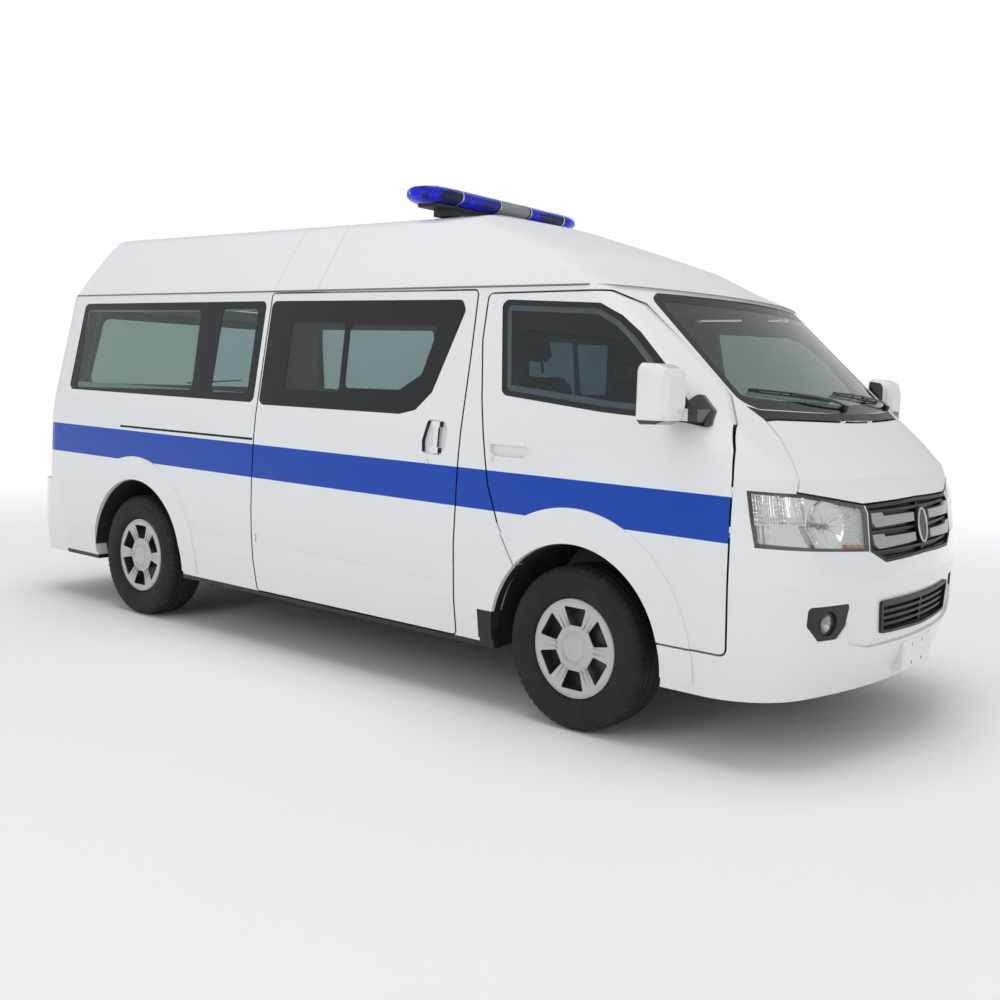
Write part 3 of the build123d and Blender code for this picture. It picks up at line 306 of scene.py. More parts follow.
roof_paint, tree, shader, layer = open_finish("roof_gelcoat", enamel, 0.28, patch=2.0, grain=900, shade=0.03,
                                              depth=0.00002, coat=0.6)
roof_x = place_of(tree)[0]
headliner = calc(tree, "LESS_THAN", place_of(tree, "Normal")[2], -0.15)
roof_colour = (*enamel, 1)
# Painted shade: a thin grey line along each roof seam stands for the shade in the seam.
for seam_x in roof_seams_x:
    roof_colour = mix_colour(tree, near(tree, roof_x, seam_x, roof_seam_half), roof_colour, (0.42, 0.43, 0.44, 1))
feed(tree, layer, {"Color": mix_colour(tree, headliner, roof_colour, (*headliner_cream, 1))})
wear(roof_paint, "roof")

# ---- window glass ---------------------------------------------------------------------------------
# Tinted toughened panes bonded flush into the sides, the screen and the tailgate. The black ceramic
# edge fired onto each pane is a thin sheet cut from the pane itself, with the clear lights left open.
sides = ((-1, "right"), (1, "left"))
window_corner = 0.03


def glass(name, colour):
    """Clear or tinted glass with a faintly uneven tint."""
    made = bpy.data.materials.new(name)
    made.use_nodes = True
    tree = made.node_tree
    layer = node(tree, "ShaderNodeGroup",
                 {"Color": (*colour, 1), "Roughness": 0.06, "Patch Size": 1.2, "Grain Size": 12, "Shade": 0.12},
                 node_tree=film)
    feed(tree, tree.nodes["Principled BSDF"], {"Transmission Weight": 1.0, "IOR": 1.45, "Roughness": 0.0,
                                               "Base Color": layer.outputs["Color"]})
    return made


def from_axle(points):
    """Points given ahead of the front axle and above the ground in millimetres, in the vehicle's metres."""
    return [(front_axle_x + x / 1000, z / 1000) for x, z in points]


def rounded(points, radius, steps=5):
    """An outline with its corners turned into arcs."""
    line = []
    count = len(points)
    for index in range(count):
        corner = Vector(points[index])
        before = Vector(points[index - 1]) - corner
        after = Vector(points[(index + 1) % count]) - corner
        angle = before.angle(after)
        reach = min(radius / math.tan(angle / 2), 0.45 * before.length, 0.45 * after.length)
        start = corner + before.normalized() * reach
        end = corner + after.normalized() * reach
        for step in range(steps + 1):
            t = step / steps
            line.append((1 - t) ** 2 * start + 2 * t * (1 - t) * corner + t ** 2 * end)
    return [(point.x, point.y) for point in line]


def shrunk(points, amount):
    """An outline moved inwards by amount, corner by corner."""
    area = sum(a[0] * b[1] - b[0] * a[1] for a, b in zip(points, points[1:] + points[:1]))
    turn_sign = 1 if area > 0 else -1
    moved = []
    count = len(points)
    for index in range(count):
        a, b, c = (Vector(points[(index + k) % count]) for k in (-1, 0, 1))
        first = (b - a).normalized()
        second = (c - b).normalized()
        inward = Vector((-first.y, first.x)) * turn_sign
        inward_next = Vector((-second.y, second.x)) * turn_sign
        middle = inward + inward_next
        moved.append(tuple(b + middle * (amount / max(0.3, 1 + inward.dot(inward_next)))))
    return moved


def opened(mesh):
    """A mesh laid open for work."""
    work = bmesh.new()
    work.from_mesh(mesh)
    return work


def closed(work, mesh=None):
    """The mesh of finished work: a new one, or one that is written over."""
    mesh = mesh or bpy.data.meshes.new("piece")
    work.to_mesh(mesh)
    work.free()
    return mesh


def tidy_mesh(mesh, gap=0.00001):
    """Merges doubles and turns every face outwards."""
    work = opened(mesh)
    bmesh.ops.remove_doubles(work, verts=work.verts, dist=gap)
    bmesh.ops.recalc_face_normals(work, faces=work.faces)
    return closed(work, mesh)


def held(mesh):
    """A passing object that holds a mesh for its modifiers."""
    holder = bpy.data.objects.new("holder", mesh)
    bpy.context.scene.collection.objects.link(holder)
    return holder


def worked(holder):
    """The plain mesh that an object's modifiers make; the object goes."""
    bpy.context.view_layer.update()
    mesh = bpy.data.meshes.new_from_object(holder.evaluated_get(bpy.context.evaluated_depsgraph_get()))
    bpy.data.objects.remove(holder)
    return mesh


def prism(outlines, facing, low, high):
    """A block with the section of some outlines, the later ones being holes in the first.

    facing "side" reads points as (x, z) and runs along Y; "front" reads them as (y, z) and runs along X.
    """
    curve = bpy.data.curves.new("outline", "CURVE")
    curve.dimensions = "2D"
    curve.fill_mode = "BOTH"
    curve.extrude = (high - low) / 2
    for points in outlines:
        spline = curve.splines.new("POLY")
        spline.points.add(len(points) - 1)
        for point, place in zip(spline.points, points):
            point.co = (place[0], place[1], 0, 1)
        spline.use_cyclic_u = True
    holder = bpy.data.objects.new("outline", curve)
    mesh = bpy.data.meshes.new_from_object(holder)
    bpy.data.objects.remove(holder)
    bpy.data.curves.remove(curve)
    middle = (high + low) / 2
    if facing == "side":
        mesh.transform(Matrix(((1, 0, 0, 0), (0, 0, 1, middle), (0, 1, 0, 0), (0, 0, 0, 1))))
    else:
        mesh.transform(Matrix(((0, 0, 1, middle), (1, 0, 0, 0), (0, 1, 0, 0), (0, 0, 0, 1))))
    return tidy_mesh(mesh)


def put(name, mesh, material, slot=None, body="vehicle_body", smooth=True):
    """A piece of the vehicle made of a mesh and one material, riding on a body."""
    mesh.name = name
    piece = bpy.data.objects.new(name, mesh)
    bpy.context.scene.collection.objects.link(piece)
    mesh.materials.clear()
    mesh.materials.append(material)
    for face in mesh.polygons:
        face.use_smooth = smooth
    if smooth:
        mesh.set_sharp_from_angle(angle=math.radians(35))
    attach(piece, body)
    return piece


def cut_piece(name, cad_node, outlines, facing, low, high, material, slot=None, body="vehicle_body", lift=0.0008):
    """A thin sheet over a CAD piece: the part of it inside a block, swollen by lift on every face."""
    block_holder = held(prism(outlines, facing, low, high))
    base_mesh = cad[cad_node].data.copy()
    base_mesh.materials.clear()
    base = held(tidy_mesh(base_mesh))
    cutter = base.modifiers.new("cut", "BOOLEAN")
    cutter.operation = "INTERSECT"
    cutter.solver = "EXACT"
    cutter.object = block_holder
    mesh = tidy_mesh(worked(base))
    bpy.data.objects.remove(block_holder)
    work = opened(mesh)
    work.normal_update()
    for vertex in work.verts:
        vertex.co += vertex.normal * lift
    return put(name, closed(work, mesh), material, slot, body, smooth=False)


pane_tint = glass("teal_tint", (0.42, 0.52, 0.52))
screen_tint = glass("screen_tint", (0.40, 0.47, 0.43))
door_tint = glass("door_tint", (0.30, 0.37, 0.41))
wear(pane_tint, "side_glass", "sliding_door_glass", "tailgate_glass")
wear(door_tint, "right_door_glass", "left_door_glass")
wear(screen_tint, "windscreen")
frit = finish("black_ceramic", (0.008, 0.009, 0.012), 0.14, patch=2, grain=1500, shade=0.3, depth=0.00003)
seal_rubber = finish("seal_rubber", (0.018, 0.018, 0.02), 0.55, patch=6, grain=900, shade=0.3)

middle_outlines = [
    # the pane's black edge, then its two clear lights, in millimetres
    [(-2034, 1764), (-716, 1758), (-690, 1712), (-838, 1345), (-930, 1262), (-1030, 1240), (-2046, 1238)],
    [(-1862, 1657), (-1468, 1653), (-1459, 1323), (-1861, 1323)],
    [(-1431, 1644), (-845, 1645), (-918, 1422), (-1052, 1348), (-1421, 1344)],
]
rear_outlines = [
    [(-3800, 1764), (-2080, 1764), (-2092, 1246), (-3862, 1252)],
    [(-3773, 1727), (-2637, 1721), (-2634, 1289), (-3789, 1265)],
    [(-2443, 1726), (-2147, 1724), (-2153, 1292), (-2464, 1287)],
]
middle_window, rear_window = ([rounded(from_axle(points), window_corner) for points in outlines]
                              for outlines in (middle_outlines, rear_outlines))
door_outline = from_axle([(-486, 1757), (38, 1738), (142, 1689), (231, 1623), (359, 1504), (515, 1338), (528, 1281),
                          (95, 1303), (-428, 1350)])
door_window = [rounded(door_outline, 0.034), rounded(shrunk(door_outline, 0.022), window_corner)]
for side, name in sides:
    span = sorted((side * 0.5, side * 1.1))
    middle_pane = "sliding_door_glass" if name == "right" else "side_glass"
    cut_piece(f"{name}_middle_window_edge", middle_pane, middle_window, "side", *span, frit)
    cut_piece(f"{name}_rear_window_edge", "side_glass", rear_window, "side", *span, frit)
    cut_piece(f"{name}_door_window_seal", f"{name}_door_glass", door_window, "side", *span, seal_rubber,
              body=f"{name}_front_door")
screen_half = [(0.640, 1.797), (0.690, 1.768), (0.712, 1.372), (0.650, 1.342), (0, 1.326)]
screen_outline = screen_half + [(-y, z) for y, z in reversed(screen_half[:-1])]
cut_piece("windscreen_edge", "windscreen",
          [rounded(screen_outline, 0.04), rounded(shrunk(screen_outline, 0.036), 0.05)], "front", 0.5, 3.0, frit)
tail_outline = [(0.655, 1.745), (0.715, 1.235), (-0.715, 1.235), (-0.655, 1.745)]
cut_piece("tailgate_window_edge", "tailgate_glass",
          [rounded(tail_outline, 0.04), rounded(shrunk(tail_outline, 0.05), 0.05)], "front", -3.0, -2.0, frit,
          body="rear_door")

# ---- tyres ----------------------------------------------------------------------------------------
# Radial road tyres: black rubber with four grooves round the tread, cuts across its shoulders and
# shallow rings on the side walls. Each is a ring of sections turned about the axle.
rubber = finish("tyre_rubber", (0.014, 0.0135, 0.014), 0.78, patch=9, grain=420, shade=0.35, dust=0.04, depth=0.0006)
half_section = [
    # radius, place across from the middle, share of the cut there
    (0.2040, 0.081, 0), (0.2120, 0.090, 0), (0.2180, 0.0975, 0), (0.2215, 0.0985, 0), (0.2240, 0.0998, 0),
    (0.2340, 0.1035, 0), (0.2375, 0.1056, 0), (0.2400, 0.1052, 0), (0.2520, 0.1073, 0), (0.2660, 0.1078, 0),
    (0.2740, 0.1074, 0), (0.2770, 0.1084, 0), (0.2800, 0.1070, 0), (0.2960, 0.1050, 0), (0.3060, 0.1028, 0),
    (0.3100, 0.1030, 0.5), (0.3180, 0.0990, 1), (0.3265, 0.0930, 1), (0.3325, 0.0860, 1), (0.3350, 0.0780, 1),
    (0.3362, 0.0700, 1), (0.3364, 0.0645, 0), (0.3290, 0.0625, 0), (0.3290, 0.0555, 0), (0.3368, 0.0535, 0),
    (0.3372, 0.0420, 0.6), (0.3374, 0.0330, 0), (0.3292, 0.0310, 0), (0.3292, 0.0240, 0), (0.3376, 0.0220, 0),
    (0.3378, 0.0110, 0.6), (0.3380, 0.0, 0),
]
tyre_section = half_section + [(r, -y, cut) for r, y, cut in reversed(half_section[:-1])]
tyre_steps = 240
cut_every = 4
cut_depth = 0.0055
shoulder_y = 0.05                   # cuts inboard of here stand half a pitch on


def tyre_mesh(centre):
    """One tyre about its axle."""
    points = []
    for step in range(tyre_steps):
        angle = 2 * math.pi * step / tyre_steps
        for radius, across, cut in tyre_section:
            offset = 0 if across > shoulder_y or abs(across) < 0.001 else cut_every // 2
            r = radius - (cut_depth * cut if (step + offset) % cut_every == 0 else 0.0)
            points.append((centre.x + r * math.cos(angle), centre.y + across, centre.z + r * math.sin(angle)))
    rows = len(tyre_section)
    faces = []
    for step in range(tyre_steps):
        here = step * rows
        there = (step + 1) % tyre_steps * rows
        for row in range(rows):
            after = (row + 1) % rows
            faces.append((here + row, here + after, there + after, there + row))
    mesh = bpy.data.meshes.new("tyre")
    mesh.from_pydata(points, [], faces)
    return tidy_mesh(mesh)


wheels = [(end, side, name) for end in ("front", "rear") for side, name in sides]
for end, side, name in wheels:
    low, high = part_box(f"{end}_{name}_tyre")
    tyre = put(f"{end}_{name}_tyre_tread", tyre_mesh((low + high) / 2), rubber, "tyre", f"{end}_{name}_road_wheel")
    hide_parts(f"{end}_{name}_tyre")

# ---- wheels ---------------------------------------------------------------------------------------
# Pressed steel rims in dark grey behind snap-on covers of silver-painted plastic with six spokes.
cover_silver = (0.56, 0.57, 0.58, 1)
rim_grey = (0.055, 0.055, 0.06, 1)
cover_y = 0.825 + 0.0785            # the cover's back lies this far from the centre plane
for end, side, name in wheels:
    wheel_paint, tree, shader, layer = open_finish(f"{end}_{name}_wheel_paint", (0.5, 0.5, 0.5), 0.34, patch=12,
                                                   grain=2500, shade=0.12, dust=0.12, depth=0.00003, metallic=0.35)
    behind = calc(tree, "LESS_THAN", times(tree, place_of(tree)[1], side), cover_y)
    feed(tree, layer, {"Color": mix_colour(tree, behind, cover_silver, rim_grey)})
    wear(wheel_paint, f"{end}_{name}_wheel")

# ---- frame, axles and floor -----------------------------------------------------------------------
# Welded steel rails and cross members under black wax, forged knuckles, a live rear axle, and the
# floor pressing with its wheelhouses in grey primer.
wax = finish("chassis_wax", (0.020, 0.020, 0.021), 0.5, patch=5, grain=160, shade=0.4, dust=0.3, depth=0.0006)
forging = finish("forged_steel", (0.11, 0.105, 0.10), 0.5, patch=14, grain=240, shade=0.4, dust=0.3, metallic=0.7)
casting = finish("cast_engine", (0.09, 0.09, 0.092), 0.6, patch=8, grain=180, shade=0.4, depth=0.0008, metallic=0.4)
primer = finish("floor_primer", (0.10, 0.105, 0.11), 0.6, patch=4, grain=200, shade=0.3, dust=0.2, depth=0.0004)
flap_rubber = finish("flap_rubber", (0.02, 0.02, 0.02), 0.6, patch=8, grain=300, shade=0.3, dust=0.2)
wear(wax, "chassis_frame", "front_suspension", "rear_axle")
wear(forging, "front_right_knuckle", "front_left_knuckle")
wear(casting, "engine_block")
wear(primer, "floor")
wear(flap_rubber, "mud_flaps")

# ---- nose trim ------------------------------------------------------------------------------------
# Grilles and lamp bezels in grained black plastic. The bars between the slats are satin silver, and
# the oval seat in the middle is a bare bright ring round a plain dark field.
black_plastic = finish("black_plastic", (0.014, 0.014, 0.016), 0.42, patch=8, grain=700, shade=0.3)
wear(black_plastic, "grilles", "fog_lamp_bezels")
bar_grey = (0.40, 0.41, 0.42)
badge_field = (0.035, 0.04, 0.055, 1)
badge_z = 0.889
badge_half = (0.052, 0.075)         # the dark field
badge_spill = 1.02                  # the field runs this little over its edge
ring_half = (0.045, 0.067)          # the bright ring's middle line
ring_steps = 64
outside_x = 3.2                     # rays at the nose start here
bar_silver, tree, shader, layer = open_finish("bar_silver", bar_grey, 0.3, patch=14, grain=1800, depth=0.00004,
                                              metallic=0.5)
_, badge_y_out, badge_z_out = place_of(tree)
across = calc(tree, "DIVIDE", badge_y_out, badge_half[0])
upwards = calc(tree, "DIVIDE", calc(tree, "SUBTRACT", badge_z_out, badge_z), badge_half[1])
on_badge = calc(tree, "LESS_THAN", reach_squared(tree, across, upwards), badge_spill)
feed(tree, layer, {"Color": mix_colour(tree, on_badge, (*bar_grey, 1), badge_field)})
wear(bar_silver, "grille_bars")


def faces_of(*nodes):
    """A search tree over the faces of CAD pieces."""
    work = bmesh.new()
    for cad_node in nodes:
        work.from_mesh(cad[cad_node].data)
    found = BVHTree.FromBMesh(work)
    work.free()
    return found


def grown(mesh, tree, **values):
    """The plain mesh that a geometry node tree makes of a mesh, with the tree's inputs set by name."""
    holder = held(mesh)
    maker = holder.modifiers.new(tree.name, "NODES")
    maker.node_group = tree
    for item in tree.interface.items_tree:
        if item.in_out == "INPUT" and item.name in values:
            maker[item.identifier] = values[item.name]
    made = worked(holder)
    bpy.data.meshes.remove(mesh)
    return made


def shaping_tree(name, inputs):
    """A geometry node tree from a piece to a piece, with named inputs and the material it sets."""
    return new_tree("GeometryNodeTree", name, [("Geometry", "Geometry"), *inputs, ("Finish", "Material")],
                    [("Geometry", "Geometry")])


def end_tree(tree, tree_in, tree_out, shape):
    """Ends a geometry node tree: its copies are made real and take the material."""
    real = node(tree, "GeometryNodeRealizeInstances", {"Geometry": shape})
    painted = node(tree, "GeometryNodeSetMaterial", {"Geometry": real.outputs[0], "Material": tree_in["Finish"]})
    feed(tree, tree_out, {"Geometry": painted.outputs[0]})


# Round bar: a circle of a given radius swept along the line that comes in, with its ends closed.
pipe_tree, pipe_in, pipe_out = shaping_tree("round_bar", [("Radius", "Float"), ("Sides", "Int")])
pipe_line = node(pipe_tree, "GeometryNodeMeshToCurve", {"Mesh": pipe_in["Geometry"]})
pipe_ring = node(pipe_tree, "GeometryNodeCurvePrimitiveCircle",
                 {"Radius": pipe_in["Radius"], "Resolution": pipe_in["Sides"]})
pipe_skin = node(pipe_tree, "GeometryNodeCurveToMesh",
                 {"Curve": pipe_line.outputs["Curve"], "Profile Curve": pipe_ring.outputs["Curve"],
                  "Fill Caps": True})
end_tree(pipe_tree, pipe_in, pipe_out, pipe_skin.outputs["Mesh"])

# Row: copies of the piece that comes in, a step apart.
row_tree, row_in, row_out = shaping_tree("row", [("Count", "Int"), ("Step", "Vector")])
row_points = node(row_tree, "GeometryNodeMeshLine", {"Count": row_in["Count"], "Offset": row_in["Step"]})
row_copies = node(row_tree, "GeometryNodeInstanceOnPoints",
                  {"Points": row_points.outputs["Mesh"], "Instance": row_in["Geometry"]})
end_tree(row_tree, row_in, row_out, row_copies.outputs["Instances"])


def tube(line, radius, steps=10, loop=False):
    """A round bar along a line of points; its ends are capped unless it is a loop."""
    count = len(line)
    edges = [(k, k + 1) for k in range(count - 1)] + ([(count - 1, 0)] if loop else [])
    mesh = bpy.data.meshes.new("line")
    mesh.from_pydata([tuple(point) for point in line], edges, [])
    return tidy_mesh(grown(mesh, pipe_tree, Radius=radius, Sides=steps, Finish=black_plastic), 0.000001)


def row_of(mesh, count, step):
    """Copies of a piece, a step apart."""
    return grown(mesh, row_tree, Count=count, Step=step, Finish=black_plastic)


def joined(meshes):
    """One mesh of several."""
    work = bmesh.new()
    for mesh in meshes:
        work.from_mesh(mesh)
        bpy.data.meshes.remove(mesh)
    return closed(work)


def block(low, high, edge=0.003):
    """A bevelled block between two corners."""
    work = bmesh.new()
    bmesh.ops.create_cube(work, size=1)
    size = Vector(high) - Vector(low)
    bmesh.ops.scale(work, vec=size, verts=work.verts)
    bmesh.ops.bevel(work, geom=work.edges[:], offset=min(edge, min(size) * 0.4), segments=2, affect="EDGES")
    bmesh.ops.translate(work, vec=(Vector(low) + Vector(high)) / 2, verts=work.verts)
    return closed(work)


chrome = finish("lamp_chrome", (0.66, 0.67, 0.69), 0.10, patch=30, grain=900, shade=0.15, depth=0.00003, metallic=1.0)
backwards = Vector((-1, 0, 0))
bar_faces = faces_of("grille_bars")
ring_line = []
for step in range(ring_steps):
    angle = 2 * math.pi * step / ring_steps
    spot = Vector((outside_x, ring_half[0] * math.cos(angle), badge_z + ring_half[1] * math.sin(angle)))
    ring_line.append(bar_faces.ray_cast(spot, backwards)[0])
put("badge_ring", tube(ring_line, 0.0048, loop=True), chrome, "silver_plastic")

# ---- headlights -----------------------------------------------------------------------------------
# A clear moulded lens over a black housing. Inside is one chromed relief: a faceted dish, fine flutes
# beside the grille, a ribbed turn lamp above and a plain window below at the outer end.
lens_clear = glass("lamp_lens", (0.97, 0.98, 0.98))
amber = finish("amber_lens", (0.80, 0.24, 0.02), 0.15, patch=20, grain=400, shade=0.3)
housing_grey = finish("lamp_housing", (0.16, 0.16, 0.165), 0.35, patch=12, grain=900, shade=0.2, metallic=0.6)
dish_y = 0.680
dish_z = 0.922
dish_radius = 0.092
dish_facets = 14
turn_lamp_z = 0.932                 # the turn lamp lies above here, the plain window below
divide_foot_y = 0.785               # the wall outside the dish, which leans in below the height beside it
divide_lean_z = 0.92
flutes_y = 0.600                    # fine flutes inboard of here
lamp_rows = 72
lamp_columns = 210
lamp_low = ((0.466, 0.828), (0.950, 0.862))         # lower edge, inner and outer end
lamp_top = ((0.462, 0.980), (0.785, 1.031), (0.950, 1.042))
lamp_focus = (2.100, 0.460)
lamp_turn = (math.radians(1.0), math.radians(60.3))
lamp_turn_lean = math.radians(3.0)


def edge_at(points, y):
    """Height of a broken line at y."""
    for (y0, z0), (y1, z1) in zip(points, points[1:]):
        if y <= y1:
            break
    return z0 + (z1 - z0) * (y - y0) / (y1 - y0)


def ribs(place, pitch, height):
    """Height of rounded ribs at a place across them."""
    return height * abs(math.sin(math.pi * place / pitch))


def lamp_depth(y, z, along):
    """How far the chromed relief lies behind the lens."""
    reach = math.hypot(y - dish_y, z - dish_z)
    divide_y = divide_foot_y - max(0.0, divide_lean_z - z) * 0.65
    if abs(y - divide_y) < 0.0035:
        return 0.006
    if y > divide_y:
        if abs(z - turn_lamp_z) < 0.004:
            return 0.006
        if z > turn_lamp_z:
            studs = ribs(z, 0.014, 0.003) if 0.05 < along % 0.09 < 0.09 else 0.0
            return 0.012 + ribs(along, 0.011, 0.004) - studs
        return 0.027 - (ribs(along, 0.006, 0.003) if y > 0.895 else 0.0)
    if reach < dish_radius:
        facet = int((math.atan2(z - dish_z, y - dish_y) + math.pi) / (2 * math.pi / dish_facets))
        hollow = 0.024 * (1 - (reach / dish_radius) ** 2)
        return 0.007 + hollow * (0.82 + 0.18 * (facet % 2))
    if reach < dish_radius + 0.004:
        return 0.004
    if y < flutes_y:
        return 0.012 + ribs(z + 0.2 * y, 0.010, 0.004)
    return 0.014


def grid_shell(grid, wall):
    """A closed thin shell from rows of (place, outward normal)."""
    work = bmesh.new()
    front = [[work.verts.new(spot) for spot, normal in row] for row in grid]
    back = [[work.verts.new(spot - normal * wall) for spot, normal in row] for row in grid]
    for first, second, under, beyond in zip(front, front[1:], back, back[1:]):
        for k in range(len(first) - 1):
            work.faces.new((first[k], first[k + 1], second[k + 1], second[k]))
            work.faces.new((under[k], beyond[k], beyond[k + 1], under[k + 1]))
        for k in (0, len(first) - 1):
            work.faces.new((first[k], second[k], beyond[k], under[k]))
    for top, low in ((front[0], back[0]), (front[-1], back[-1])):
        for k in range(len(top) - 1):
            work.faces.new((top[k], low[k], low[k + 1], top[k + 1]))
    bmesh.ops.recalc_face_normals(work, faces=work.faces)
    return closed(work)


def lamp_relief(side, faces):
    """The chromed inside of one headlight."""
    grid = []
    lengths = [0.0]
    last = None
    for column in range(lamp_columns + 1):
        rows = []
        for row in range(lamp_rows + 1):
            turn_end = lamp_turn[1] + lamp_turn_lean * row / lamp_rows
            angle = lamp_turn[0] + (turn_end - lamp_turn[0]) * column / lamp_columns
            aim = Vector((math.cos(angle), side * math.sin(angle), 0))
            start = Vector((lamp_focus[0], side * lamp_focus[1], 0.94)) + aim
            first_spot = faces.ray_cast(start, -aim)[0]
            y = abs(first_spot.y) if first_spot else lamp_low[1][0]
            z = edge_at(lamp_low, y) + (edge_at(lamp_top, y) - edge_at(lamp_low, y)) * row / lamp_rows
            start.z = z
            spot, normal = faces.ray_cast(start, -aim)[:2]
            if row == lamp_rows // 2:
                lengths.append(lengths[-1] + (spot - last).length if last else 0.0)
                last = spot
            rows.append((spot, normal, y, z))
        grid.append([(spot - normal * lamp_depth(y, z, lengths[-1]), normal) for spot, normal, y, z in rows])
    return grid_shell(grid, 0.0012)


def shell_part(cad_node, side, outer, thickness):
    """The outer skin of one lamp as a thin sheet, or all its other walls as an open tray."""
    mesh = cad[cad_node].data.copy()
    mesh.materials.clear()
    tidy_mesh(mesh)
    aim = Vector((0.75, side * 0.66, 0.1))
    work = opened(mesh)
    work.normal_update()
    spare = [face for face in work.faces
             if face.calc_center_median().y * side < 0 or (face.normal.dot(aim) > 0.25) != outer]
    bmesh.ops.delete(work, geom=spare, context="FACES")
    bmesh.ops.solidify(work, geom=work.faces[:], thickness=thickness)
    bmesh.ops.recalc_face_normals(work, faces=work.faces)
    return closed(work, mesh)


lamp_faces = faces_of("headlights")
for side, name in sides:
    lens = put(f"{name}_headlight_lens", shell_part("headlights", side, True, 0.0025), lens_clear, "lamp_clear")
    put(f"{name}_headlight_housing", shell_part("headlights", side, False, 0.0015), housing_grey, "grille_plastic",
        smooth=False)
    put(f"{name}_headlight_relief", lamp_relief(side, lamp_faces), chrome, "silver_plastic", smooth=False)
    spot, normal = lamp_faces.ray_cast(Vector((outside_x, side * dish_y, dish_z)), backwards)[:2]
    bulb = tube([spot - normal * depth for depth in (0.031, 0.010, 0.007)], 0.010, steps=20)
    put(f"{name}_headlight_bulb", bulb, bar_silver, "silver_plastic")
    marker = [lamp_faces.ray_cast(Vector((outside_x, side * y, 0.838 + 0.07 * (y - 0.5))), backwards)[0]
              for y in (0.492, 0.51, 0.53, 0.55, 0.57, 0.588)]
    put(f"{name}_side_marker", tube([point - normal * 0.009 for point in marker], 0.006), amber, "lamp_clear")
    if side < 0:
        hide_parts("headlights")

# ---- fog lamps ------------------------------------------------------------------------------------
# Small round lamps deep in the black bezels: a chromed bowl, a dark ring and a domed clear lens.
fog_y, fog_z = 0.672, 0.560


def turned_to(aim):
    """The turn that takes Z to an aim."""
    return Vector(aim).to_track_quat("Z", "Y").to_matrix()


def dished(centre, aim, radius, depth, steps=44, rings=10, wall=0.0012):
    """A round dish that opens along aim, with a thin wall; a negative depth makes a dome."""
    work = bmesh.new()
    rows = []
    for ring in range(1, rings + 1):
        r = radius * ring / rings
        rows.append([work.verts.new((r * math.cos(a), r * math.sin(a), -depth * (1 - (ring / rings) ** 2)))
                     for a in (2 * math.pi * k / steps for k in range(steps))])
    work.faces.new(rows[0])
    for inner, outer in zip(rows, rows[1:]):
        for k in range(steps):
            work.faces.new((inner[k], outer[k], outer[(k + 1) % steps], inner[(k + 1) % steps]))
    work.normal_update()
    bmesh.ops.solidify(work, geom=work.faces[:], thickness=wall)
    work.transform(Matrix.Translation(centre) @ turned_to(aim).to_4x4())
    bmesh.ops.recalc_face_normals(work, faces=work.faces)
    return closed(work)


def circle_line(centre, aim, radius, steps=48):
    """Points round a circle that faces along aim."""
    return [Vector(centre) + turned_to(aim) @ Vector((radius * math.cos(a), radius * math.sin(a), 0))
            for a in (2 * math.pi * k / steps for k in range(steps))]


fog_chrome = finish("fog_chrome", (0.30, 0.31, 0.32), 0.14, patch=30, grain=900, shade=0.2, depth=0.00003,
                    metallic=1.0)
fog_faces = faces_of("fog_lamps")
for side, name in sides:
    spot, normal = fog_faces.ray_cast(Vector((outside_x, side * fog_y, fog_z)), backwards)[:2]
    aim = (normal + Vector((0.8, 0, 0))).normalized()
    lens = put(f"{name}_fog_lens", dished(spot - aim * 0.004, aim, 0.037, -0.006), lens_clear, "lamp_clear")
    put(f"{name}_fog_bowl", dished(spot - aim * 0.006, aim, 0.036, 0.020), fog_chrome, "silver_plastic")
    put(f"{name}_fog_ring", tube(circle_line(spot - aim * 0.005, aim, 0.041), 0.005, loop=True), black_plastic,
        "grille_plastic")
    if side < 0:
        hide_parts("fog_lamps")

# ---- tail lamps -----------------------------------------------------------------------------------
# Tall moulded lenses round the rear corners: deep red with fine ribs, an amber turn band, a clear
# reversing band below it and dark seams between them.
lens_red = (0.33, 0.004, 0.01)
lamp_seam = (0.02, 0.004, 0.006, 1)
rib_density = 520
tail_red, tree, shader, layer = open_finish("tail_red", lens_red, 0.12, patch=10, grain=600, shade=0.25,
                                            depth=0.00005, coat=0.6)
tail_z = place_of(tree)[2]
tail_colour = (*lens_red, 1)
for low_z, high_z, tint in ((0.985, 1.045, (0.62, 0.16, 0.01, 1)), (0.905, 0.965, (0.55, 0.55, 0.57, 1)),
                            (0.965, 0.985, lamp_seam), (0.890, 0.905, lamp_seam), (1.045, 1.058, lamp_seam)):
    tail_colour = mix_colour(tree, between(tree, tail_z, low_z, high_z), tail_colour, tint)
feed(tree, layer, {"Color": tail_colour})
tail_ribs = calc(tree, "ABSOLUTE", calc(tree, "SINE", calc(tree, "MULTIPLY", tail_z, rib_density)))
tail_bump = node(tree, "ShaderNodeBump", {"Strength": 0.5, "Distance": 0.0006, "Height": tail_ribs})
feed(tree, shader, {"Normal": tail_bump.outputs[0]})
wear(tail_red, "tail_lamps")

# ---- light bar ------------------------------------------------------------------------------------
# Royal-blue lens modules on a dark base, a grey ribbed loudspeaker between them, bright rings at the
# joints and a round alley lamp at each end. Every module is a slice of one tapering form.
bar_x = 0.220
bar_half = 0.590
bar_wide = 0.145
bar_low = 2.263
bar_top = 2.357
bar_wall = 0.003
bar_middle = (bar_low + bar_top) / 2
bar_end_share = 0.70                # the form tapers outboard of this share of its half length
lens_spans = {"right_end": (-0.588, -0.405), "right_middle": (-0.398, -0.125), "left_middle": (0.125, 0.398),
              "left_end": (0.405, 0.588)}
lens_blue = glass("beacon_blue", (0.01, 0.07, 0.85))
speaker_grey = finish("speaker_grey", (0.36, 0.37, 0.36), 0.5, patch=12, grain=900, shade=0.2)
ring_silver = finish("ring_silver", (0.72, 0.73, 0.75), 0.22, patch=12, grain=900, metallic=0.9)
